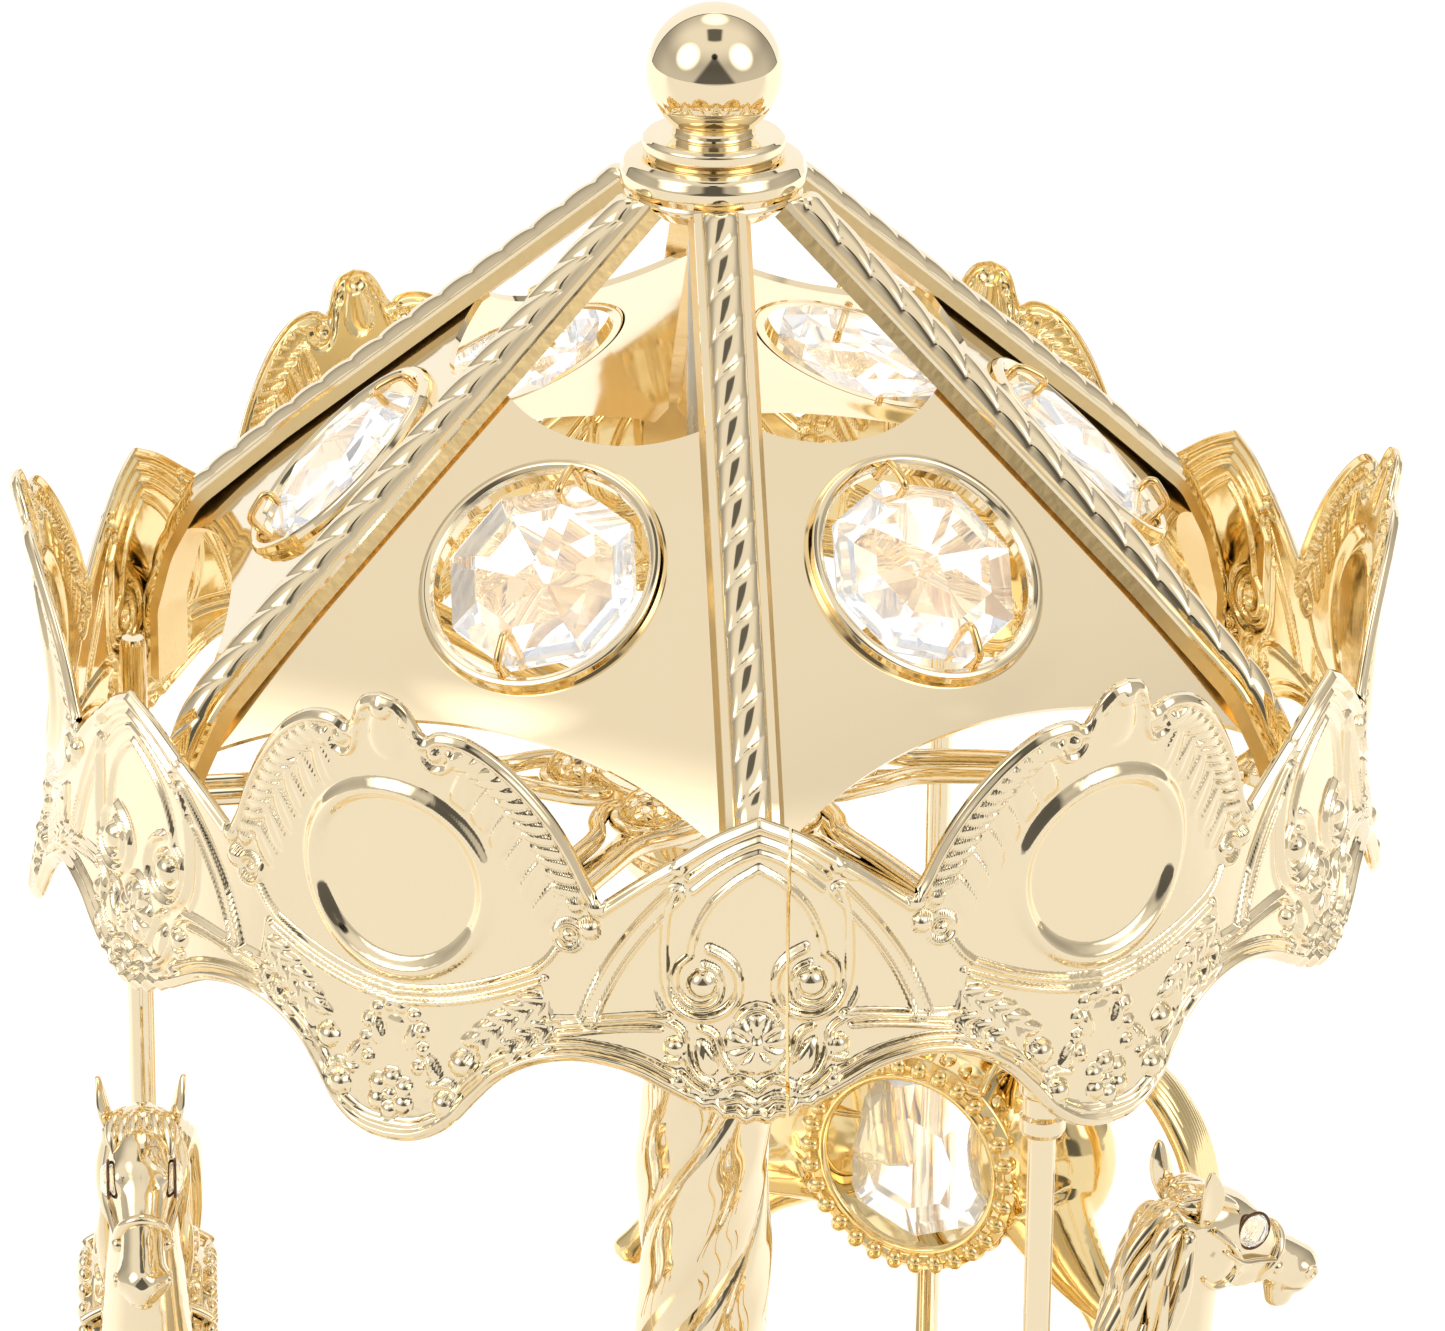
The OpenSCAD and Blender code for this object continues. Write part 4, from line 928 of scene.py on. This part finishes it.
def horse_body():
    solid = [
        # chest, rump and neck
        ball((10.0, 0, 70.5), (7.0, 5.0, 8.0), 28), ball((-11.0, 0, 71.5), (7.2, 5.1, 8.2), 28),
        loft([(9, 70, 12, 8.5, 4.7), (9.6, 77, 4, 7.3, 4.2), (11.2, 84, -4, 5.6, 3.5),
              (12.8, 90, -12, 4.5, 2.95), (14.0, 95.5, -22, 3.9, 2.65), (14.9, 99.5, -40, 3.2, 2.4)]),
        # head from poll to lips
        loft([(14.6, 99.4, 60, 2.3, 2.0), (16.2, 98.4, 58, 3.5, 2.75), (18.4, 97.1, 58, 3.6, 2.85),
              (20.6, 95.7, 60, 2.75, 2.25), (23.0, 94.0, 60, 2.25, 1.85), (25.2, 92.5, 60, 2.2, 1.9),
              (26.9, 91.5, 60, 1.95, 1.7), (27.8, 91.0, 60, 1.0, 0.9)]),
        ball((17.6, 0, 95.1), (3.1, 2.35, 2.7), 20), ball((24.9, 0, 90.6), (1.8, 1.4, 1.1), 16),
        ball((20.8, 0, 93.0), (2.6, 1.5, 1.3), 16),
        *pair((16.4, 1.5, 95.9), (2.4, 1.6, 2.4), 18), *pair((26.0, 1.35, 92.1), (1.5, 1.05, 1.25), 16),
        ball((26.6, 0, 90.9), (1.25, 1.5, 0.7), 16), ball((24.6, 0, 89.6), (1.3, 1.15, 0.95), 16),
        *pair((19.5, 1.75, 98.2), (1.9, 1.0, 1.5), 16),
    ]
    # legs, each with its distance to the side
    legs = [
        (2.5, [(11, 67, 60, 4.6, 2.4), (17, 65.6, 70, 3.4, 1.9), (22.4, 64.0, 78, 2.3, 1.45),
               (25.2, 62.2, 30, 1.75, 1.3), (26.6, 58.6, 10, 1.15, 0.95), (28.2, 55.6, 20, 1.25, 1.05),
               (29.4, 53.6, 20, 1.7, 1.4), (29.6, 52.6, 20, 1.5, 1.3)]),
        (-2.6, [(10.5, 66, 40, 4.3, 2.3), (14.6, 62.4, 50, 3.0, 1.9), (18.2, 59.2, 40, 2.0, 1.4),
                (19.6, 56.0, 5, 1.4, 1.15), (19.4, 52.2, 0, 1.1, 0.95), (19.2, 49.6, 5, 1.25, 1.05),
                (19.4, 48.0, 5, 1.75, 1.4), (19.4, 47.3, 5, 1.5, 1.3)]),
        (2.7, [(-12, 68, -30, 5.2, 2.6), (-14.4, 64.2, -35, 4.0, 2.2), (-17.6, 60.2, -40, 2.6, 1.6),
               (-20.8, 57.4, -40, 1.7, 1.25), (-23.4, 53.6, -45, 1.15, 0.95), (-26.2, 50.2, -45, 1.2, 1.05),
               (-27.8, 48.4, -45, 1.7, 1.35), (-28.4, 47.6, -45, 1.4, 1.2)]),
        (-2.7, [(-9.5, 67, -20, 4.8, 2.5), (-11.0, 62.6, -25, 3.8, 2.1), (-13.4, 58.4, -30, 2.5, 1.6),
                (-15.8, 55.6, -30, 1.7, 1.25), (-17.2, 51.4, -30, 1.15, 0.95), (-19.0, 48.4, -40, 1.2, 1.05),
                (-20.2, 46.9, -40, 1.7, 1.35), (-20.7, 46.2, -40, 1.4, 1.2)]),
    ]
    solid += [shifted(loft(pts, 18, 2), (0, y, 0)) for y, pts in legs]
    return solid


def saddle():
    parts = []
    m, k = 30, 33
    x = np.linspace(-7.2, 7.2, m)
    t = np.linspace(-1, 1, k)
    X, T = np.meshgrid(x, t, indexing="ij")
    ang = T * 0.82
    lift = 0.9 * (np.abs(X) / 7.2) ** 4 + 0.5
    rr = 5.9 + lift
    Y = rr * np.sin(ang)
    base = 76.3 + 0.35 * np.cos(X / 7.2 * math.pi) - 0.012 * X ** 2
    Z = base + (rr - 2.2) * np.cos(ang)
    top = np.stack([X, Y, Z], -1)
    low = np.stack([X, Y * 0.9, Z - 0.6], -1)
    v = np.concatenate([top.reshape(-1, 3), low.reshape(-1, 3)])
    g = grid_faces(m, k)
    parts.append((v, [g[:, ::-1], g + m * k]))
    parts += [tube(curve(e, 2), 0.42, 10) for e in (top[0, :], top[-1, :], top[:, 0], top[:, -1])]
    parts += [ball((5.6, 0, 81.6), (1.5, 1.8, 1.5), 20), ball((-6.2, 0, 81.5), (1.4, 2.9, 1.7), 20)]
    return merge(parts)


def petal(a, r, y, size, n):
    """A bead on the ring round the horse's crystals, at angle a, turned to point outwards."""
    v, g = ball((0, 0, 0), size, n)
    m = np.array([[math.cos(a), 0, -math.sin(a)], [0, 1, 0], [math.sin(a), 0, math.cos(a)]])
    return v @ m.T + [r * math.cos(a), y, HORSE_Z + r * math.sin(a)], g


def petal_rim():
    parts = []
    for side in (-1, 1):
        parts += [petal(2 * math.pi * k / 30, 9.8, side * 5.35, (1.0, 0.62, 0.8), 12) for k in range(30)]
        parts.append(hoop((0, side * 4.9, HORSE_Z), 8.7, 8.7, 96, 0.45, 10))
    for row, y in enumerate((-3.1, 0.0, 3.1)):
        turn = 0.5 * (row % 2)
        parts += [petal(2 * math.pi * (k + turn) / 34, 10.7, y, (0.45, 1.25, 0.75), 10) for k in range(34)]
    return merge(parts)


def mane():
    parts = []
    crest = curve([(14.6, 101.6), (11.6, 101.2), (9.0, 97.2), (7.2, 92.0), (5.2, 86.8), (2.6, 82.2),
                   (1.2, 79.0)], 6)
    along = unit(np.gradient(crest, axis=0))
    for side in (-1, 1):
        for j in range(6):
            for h in range(3):
                i0 = 1 + 10 * h + (j * 5) % 9
                i1 = min(len(crest) - 1, i0 + 15)
                q, d = crest[i0:i1:2], along[i0:i1:2]
                if len(q) < 4:
                    continue
                n = np.stack([-d[:, 1], d[:, 0]], 1)
                f = np.linspace(0, 1, len(q))
                sweep = 1 if j > 3 else 0.2
                fwd = 0.2 + 0.62 * j + 0.55 * np.sin(f * 5.4 + j * 1.1 + h) + 0.9 * f ** 3 * sweep
                y = side * (0.25 + 0.66 * j - 0.02 * j * j + 0.15 * np.sin(f * 6 + h) + 0.22 * h)
                pts = np.stack([q[:, 0] + n[:, 0] * fwd, y, q[:, 1] + n[:, 1] * fwd], 1)
                parts.append(strand(pts, 0.74 + 0.1 * (j % 2), 12, 0.9))
        for c, r in (((4.0, 84.0), 1.5), ((2.4, 80.6), 1.2)):
            t = np.linspace(0, 4.6, 9)
            rr = r * (1 - t / 7.5)
            pts = np.stack([c[0] + rr * np.cos(t + 1.2), np.full(9, side * 3.9),
                            c[1] + rr * np.sin(t + 1.2)], 1)
            parts.append(strand(pts, 0.6, 10))
    for k in range(6):
        y = (k - 2.5) * 0.8
        parts.append(strand([(13.4, y * 0.5, 101.5), (15.6, y * 1.0, 101.8 - 0.15 * (k % 2)),
                             (17.4, y * 1.2, 100.9), (18.4 + 0.5 * (k % 2), y * 1.15, 99.6 - 0.4 * (k % 3))],
                             0.66, 10))
    parts.append(ball((15.0, 0, 101.0), (2.0, 2.2, 1.3), 24))
    return merge(parts)


def tail():
    parts = []
    for k in range(9):
        a = k / 8 - 0.5
        y = 1.9 + a * 3.0
        w = math.cos(a * 2.2)
        pts = [(-15.5, 1.6 + a * 1.2, 77.4 + w), (-18.4, 1.7 + a * 2.2, 81.0 + 1.2 * w),
               (-22.6, y, 81.0 + 1.5 * w), (-26.2, y + a * 0.4, 76.6 + 0.8 * w), (-27.9, y + a * 0.6, 71.0),
               (-28.3 + 0.5 * math.sin(k * 2), y, 66.0),
               (-27.3 + 0.4 * math.cos(k * 3), y - a * 0.8, 62.3 - 0.5 * w)]
        parts.append(strand(pts, 1.05, 12, 0.9))
    return merge(parts)


def tack():
    parts = []

    def loop(x, z, lean, ha, hb, r):
        t = np.linspace(0, 2 * math.pi, 41)[:-1]
        a = math.radians(lean)
        p = np.stack([x + ha * np.cos(t) * math.cos(a), hb * np.sin(t), z + ha * np.cos(t) * math.sin(a)], 1)
        return tube(p, r, 8, closed=True, up=(0.3, 0.1, 1))

    parts.append(loop(22.6, 94.3, 60, 2.36, 1.98, 0.45))
    for s in (-1, 1):
        bridle = [(22.6, s * 1.95, 94.3), (20.4, s * 2.45, 95.0), (18.4, s * 2.85, 95.6),
                  (16.6, s * 3.0, 97.0)]
        parts.append(tube(curve(bridle, 6), 0.4, 10, 0.6))
        parts.append(ball((22.7, s * 2.0, 93.6), 0.62, 14))
        parts.append(hoop((26.2, s * 2.2, 92.2), 0.5, 0.45, 16, 0.2, 8))
    for s in (-1, 1):
        cheek = [(15.6, s * 2.5, 99.0), (17.4, s * 2.8, 97.2), (18.2, s * 2.5, 95.3), (17.4, s * 2.2, 93.9),
                 (15.8, s * 2.35, 93.9), (14.6, s * 2.5, 95.0)]
        mouth = [(27.0, s * 0.8, 90.4), (25.6, s * 1.25, 90.4), (24.0, s * 1.3, 90.9)]
        parts += [tube(curve(cheek, 7), 0.55, 10, 0.6), tube(curve(mouth, 6), 0.24, 8)]
    parts.append(loop(10.6, 74.0, 8, 7.6, 5.1, 0.42))
    for k in range(15):
        t = math.pi * (k + 0.5) / 15 - math.pi / 2
        parts.append(ball((10.6 + 7.75 * math.cos(t), 5.2 * math.sin(t), 74.0 + 1.1 * math.cos(t)), 0.55, 12))
    return merge(parts)


def make_horses():
    cast = remeshed(merge(horse_body()), 0.34, 6)
    extras = merge([mane(), ear(1), ear(-1), tack(), tail(), saddle()])
    ring = merge([drum(10.7, 5.5), petal_rim()])
    gem = cut_stone([(4.6, 2.4, 0), (8.2, 0.5, 0), (8.2, -0.3, 0), (6.6, -0.9, 0)])
    eye = cut_stone([(0.75, 0.62, 0), (1.15, 0.42, 1), (1.42, 0.05, 0), (0, -0.6, 0)], 10)
    disc = lathe([(0.001, 0), (1.3, 0), (1.35, 0.25)], 32)
    stones, eye_cups, eye_foils, eye_stones = [], [], [], []
    for s in (-1, 1):
        outward = [[1, 0, 0], [0, 0, s], [0, -s, 0]]
        stones.append(turned(gem, outward, (0, s * 2.6, HORSE_Z)))
        eye_cups.append(hoop((19.6, s * 2.72, 98.0), 1.55, 1.55, 32, 0.13, 8))
        eye_foils.append(turned(disc, outward, (19.6, s * 2.05, 98.0)))
        eye_stones.append(turned(eye, outward, (19.6, s * 2.75, 98.0)))
    for i in range(3):
        a = FRONT + STEP / 2 + 2 * STEP * i
        m = rot_z(a + math.pi / 2)
        off = rot_z(a) @ np.array([POLE_R, 0, 0]) - [0, 0, HORSE_DROP]
        # painted shade: the horse at the back takes the darker shaded copy of the gold
        tone = gold_cast if i != 1 else gold_shaded
        h = f"horse_{i + 1}"
        for name, shape, mat, node, angle in (
                ("body", cast, tone, h, None),
                ("trappings", extras, tone, h, 50),
                ("ring", ring, tone, h, 45),
                ("stones", merge(stones), crystal_glass, f"horse_crystals_{i + 1}", None),
                ("eye_cups", merge(eye_cups), bezel, "horse_eyes", 40),
                ("eye_foils", merge(eye_foils), foil, "horse_eyes", 40),
                ("eyes", merge(eye_stones), crystal_glass, "horse_eyes", None)):
            piece(f"{h}_{name}", turned(shape, m, off), mat, nodes=[node],
                  smooth=name not in ("stones", "eyes"), angle=angle)


# ---------- base ----------

BAND_R = 50.8

def band_relief(u, z):
    """Running scroll round the base: u along the wall, z from 0 to 14."""
    per = BAND_R * 2 * math.pi / 24
    a = np.abs((u + per / 2) % per - per / 2)
    h = np.maximum(0.5 * bump(z - 1.0, 0.6), 0.5 * bump(13.0 - z, 0.6))
    d = np.hypot(a - 3.0, z - 6.9)
    phi = np.arctan2(z - 6.9, a - 3.0)
    h = np.maximum(h, 0.45 * bump(d - (1.3 + 0.28 * (phi + math.pi)), 0.45))
    h = np.maximum(h, bead(a, z, (3.0, 6.9), 0.85))
    leaves = [((0, 9.6), 90, 2.2), ((0, 4.2), 90, 1.7), ((1.5, 10.2), 40, 1.7), ((1.4, 3.6), -40, 1.5),
              ((5.6, 9.8), 60, 1.6), ((5.6, 4.0), -60, 1.5)]
    return highest([h] + [leaf(a, z, c, ang, length, 0.65, 0.5, 0.4) for c, ang, length in leaves])


def make_base():
    prof = fillet([(46, 2), (55.5, 2), (55.5, 5), (54.5, 6.5), (52.1, 8.4), (50.8, 11), (50, 13.5), (50, 30),
                    (51, 32), (53, 33.6), (54, 35), (54, 37), (4.2, 37), (4.2, 35), (48, 35), (48, 15),
                   (42.5, 15), (42.5, 13), (46, 13), (46, 2)],
                  [0, 0.6, 1.2, 0.6, 1.5, 1.0, 0.5, 0.4, 0.9, 0.8, 0.7, 0.6] + [0] * 8, 5)
    piece("base_shell_look", lathe(prof, 200), gold_turned, body="base", nodes=["base_shell"], angle=38)
    n, m = 1500, 66
    t = np.arange(n) * 2 * math.pi / n
    z = np.linspace(0, 14, m)
    T, Z = np.meshgrid(t, z, indexing="ij")
    h = band_relief(T * BAND_R, Z)
    fade = np.clip(np.minimum(Z, 14 - Z) / 0.25, 0, 1)
    R = 50.15 + 0.25 * fade + h * 0.9
    v = np.stack([R * np.cos(T), R * np.sin(T), Z + 14.5], -1).reshape(-1, 3)
    piece("base_band_look", (v, [grid_faces(n, m, wrap_u=True)]), gold_relief, body="base",
          nodes=["base_band"])
    prof = fillet([(2, 37.6), (51, 37.6), (52, 38.2), (52, 40.4), (51.2, 41), (2, 41)],
                  [0, 0.3, 0.4, 0.5, 0.4, 0], 5)
    piece("turntable_look", lathe(prof, 200), gold_sheet, nodes=["turntable"], angle=38)
    beads = [tube(np.stack([52.1 * np.cos(t[::8]), 52.1 * np.sin(t[::8]), np.full(len(t[::8]), zz)], 1),
                  0.35, 8, closed=True) for zz in (38.5, 40.1)]
    for k in range(150):
        a = 2 * math.pi * k / 150
        beads.append(ball((52.15 * math.cos(a), 52.15 * math.sin(a), 39.3), 0.75, 10))
    piece("turntable_trim_look", merge(beads), gold_relief, nodes=["turntable_trim"])
    feet = []
    for k in range(4):
        a = math.radians(45 + 90 * k)
        f = lathe(fillet([(0.001, 0), (3.4, 0), (4, 0.6), (4, 2), (0.001, 2)], [0, 0.3, 0.3, 0.1, 0], 4), 40)
        feet.append(shifted(f, (50.5 * math.cos(a), 50.5 * math.sin(a), 0)))
    piece("base_feet_look", merge(feet), rubber, body="base", nodes=["base_feet"], angle=40)


# painted shade: the bottom plate takes the darker shaded copy of the gold
FINISH = {"bottom_plate": gold_shaded, "plate_screws": steel, "bedplate": zinc, "comb": steel,
          "movement_screws": steel, "barrel_bridge": brass, "governor_bracket": brass, "bearing_bush": brass,
           "winding_key": gold_sheet, "pin_cylinder": brass, "idler_wheel": brass, "governor_fan": steel,
          "spring_barrel": brass, "mainspring": steel, "centre_spindle": steel, }


def finish_frame():
    for name, mat in FINISH.items():
        o = frame["nodes"][name]
        o.data.materials.clear()
        o.data.materials.append(mat)


# ---------- studio ----------

VIEW_AZ, VIEW_EL, VIEW_DIST, VIEW_ROLL = -94.1, 22.1, 0.587, 0.53

def world():
    w = bpy.data.worlds.new("studio")
    bpy.context.scene.world = w
    w.use_nodes = True
    nt = w.node_tree
    nt.nodes.clear()
    out = nt.nodes.new("ShaderNodeOutputWorld")
    bg = nt.nodes.new("ShaderNodeBackground")
    nt.links.new(bg.outputs[0], out.inputs[0])
    view = nt.nodes.new("ShaderNodeTexCoord").outputs["Generated"]
    sep = nt.nodes.new("ShaderNodeSeparateXYZ")
    nt.links.new(view, sep.inputs[0])

    def calc(op, *values):
        n = nt.nodes.new("ShaderNodeMath")
        n.operation = op
        connect(nt, n, dict(enumerate(values)))
        return n.outputs[0]

    def add(a, b):
        return calc("ADD", a, b)

    def sub(a, b):
        return calc("SUBTRACT", a, b)

    def mul(a, b):
        return calc("MULTIPLY", a, b)

    def darken(x, mask, amount):
        return mul(x, sub(1.0, mul(mask, amount)))

    def ramp(x, lo, hi, a=0.0, b=1.0):
        return map_range(nt, x, lo, hi, a, b, smooth=True)

    def cosd(degrees):
        return math.cos(math.radians(degrees))

    def towards(azimuth, elevation):
        """Cosine of the angle to a direction, with azimuth 0 behind the camera."""
        a, e = math.radians(VIEW_AZ + azimuth), math.radians(elevation)
        n = nt.nodes.new("ShaderNodeVectorMath")
        n.operation = "DOT_PRODUCT"
        connect(nt, n, {0: view, 1: (math.cos(e) * math.cos(a), math.cos(e) * math.sin(a), math.sin(e))})
        return n.outputs["Value"]

    def spot(azimuth, elevation, radius, soft):
        return ramp(towards(azimuth, elevation), cosd(radius + soft), cosd(radius))

    z = sep.outputs["Z"]
    ahead, side, behind = towards(0, 0), towards(90, 0), towards(180, 4)
    # a tan room all round, with a white backdrop straight behind
    backdrop = ramp(behind, cosd(49.2), cosd(48.2))
    border = sub(ramp(behind, cosd(51.5), cosd(50.0)), backdrop)
    room = sub(1.0, backdrop)
    level = add(ramp(z, 0.30, 0.85, 0.0, 0.38), ramp(z, 0.45, -0.05, 0.48, 0.60))
    level = mul(level, ramp(ahead, -0.62, 0.0, 0.66, 1.0))
    base = darken(add(mul(room, sub(level, 1.0)), 1.0), border, 0.8)
    lamps = [(-55, 31, 6, 18, 1.9), (55, 31, 6, 18, 1.9), (180, 67, 8, 10, 0.9)]
    for azimuth, elevation, radius, soft, power in lamps:
        base = add(base, mul(spot(azimuth, elevation, radius, soft), power))
    # dark stand behind the camera: a triangle narrowing upwards, black at its head, and its boom overhead
    reach = mul(sub(math.radians(45), calc("ARCSINE", z)), 0.69)
    inside = sub(reach, calc("ABSOLUTE", calc("ARCTAN2", side, ahead)))
    base = darken(base, mul(ramp(inside, -0.06, 0.10), ramp(z, -0.18, -0.13)), 0.80)
    base = darken(base, spot(0, 39, 3.5, 3), 0.9)
    boom = mul(ramp(calc("ABSOLUTE", side), math.sin(math.radians(13)), math.sin(math.radians(8))),
               mul(ramp(z, cosd(27), cosd(22)), ramp(ahead, -0.02, 0.03)))
    connect(nt, bg, {"Color": colour_mix(nt, (1, 1, 1), (1.0, 0.955, 0.89), room),
                     "Strength": darken(base, boom, 0.85)})


def studio():
    world()
    me = bpy.data.meshes.new("floor")
    n = 96
    ring = [(1.6 * math.cos(2 * math.pi * k / n), 1.6 * math.sin(2 * math.pi * k / n),
             -0.0004) for k in range(n)]
    me.from_pydata(ring, [], [tuple(range(n))])
    floor = bpy.data.objects.new("floor", me)
    bpy.context.scene.collection.objects.link(floor)
    m, nt, b = shader("paper_sweep")
    sep = nt.nodes.new("ShaderNodeSeparateXYZ")
    nt.links.new(own_coords(nt), sep.inputs[0])
    # dark where it nears the camera; painted light: the floor glows, brighter behind the object
    near_edge = map_range(nt, sep.outputs["Y"], -1.25, -1.15, 0.35, 0.82, smooth=True)
    grey = nt.nodes.new("ShaderNodeCombineXYZ")
    connect(nt, grey, {k: near_edge for k in range(3)})
    glow = map_range(nt, sep.outputs["Y"], -0.08, 0.10, 0.17, 0.45, smooth=True)
    connect(nt, b, {"Roughness": 0.25, "Specular IOR Level": 0.0, "Base Color": grey.outputs[0],
                    "Emission Color": (1, 1, 1, 1), "Emission Strength": glow})
    me.materials.append(m)

    cam = bpy.data.objects.new("camera", bpy.data.cameras.new("camera"))
    bpy.context.scene.collection.objects.link(cam)
    bpy.context.scene.camera = cam
    cam.data.sensor_width = 36
    cam.data.lens = 177.03
    cam.data.shift_x = 0.00934
    cam.data.shift_y = -0.0038
    cam.data.clip_start = 0.01
    a, e = math.radians(VIEW_AZ), math.radians(VIEW_EL)
    target = Vector((0, 0, 0.133))
    back = Vector((math.cos(e) * math.cos(a), math.cos(e) * math.sin(a), math.sin(e)))
    aim = back.to_track_quat("Z", "Y").to_matrix().to_4x4()
    roll = Matrix.Rotation(math.radians(VIEW_ROLL), 4, "Z")
    cam.matrix_world = Matrix.Translation(target + back * VIEW_DIST) @ aim @ roll
    sc = bpy.context.scene
    sc.view_settings.view_transform = "Standard"
    sc.view_settings.look = "None"
    sc.view_settings.exposure = 0.0
    sc.view_settings.gamma = 1.0


make_valance()
make_canopy()
make_middle()
make_horses()
make_base()
finish_frame()
studio()
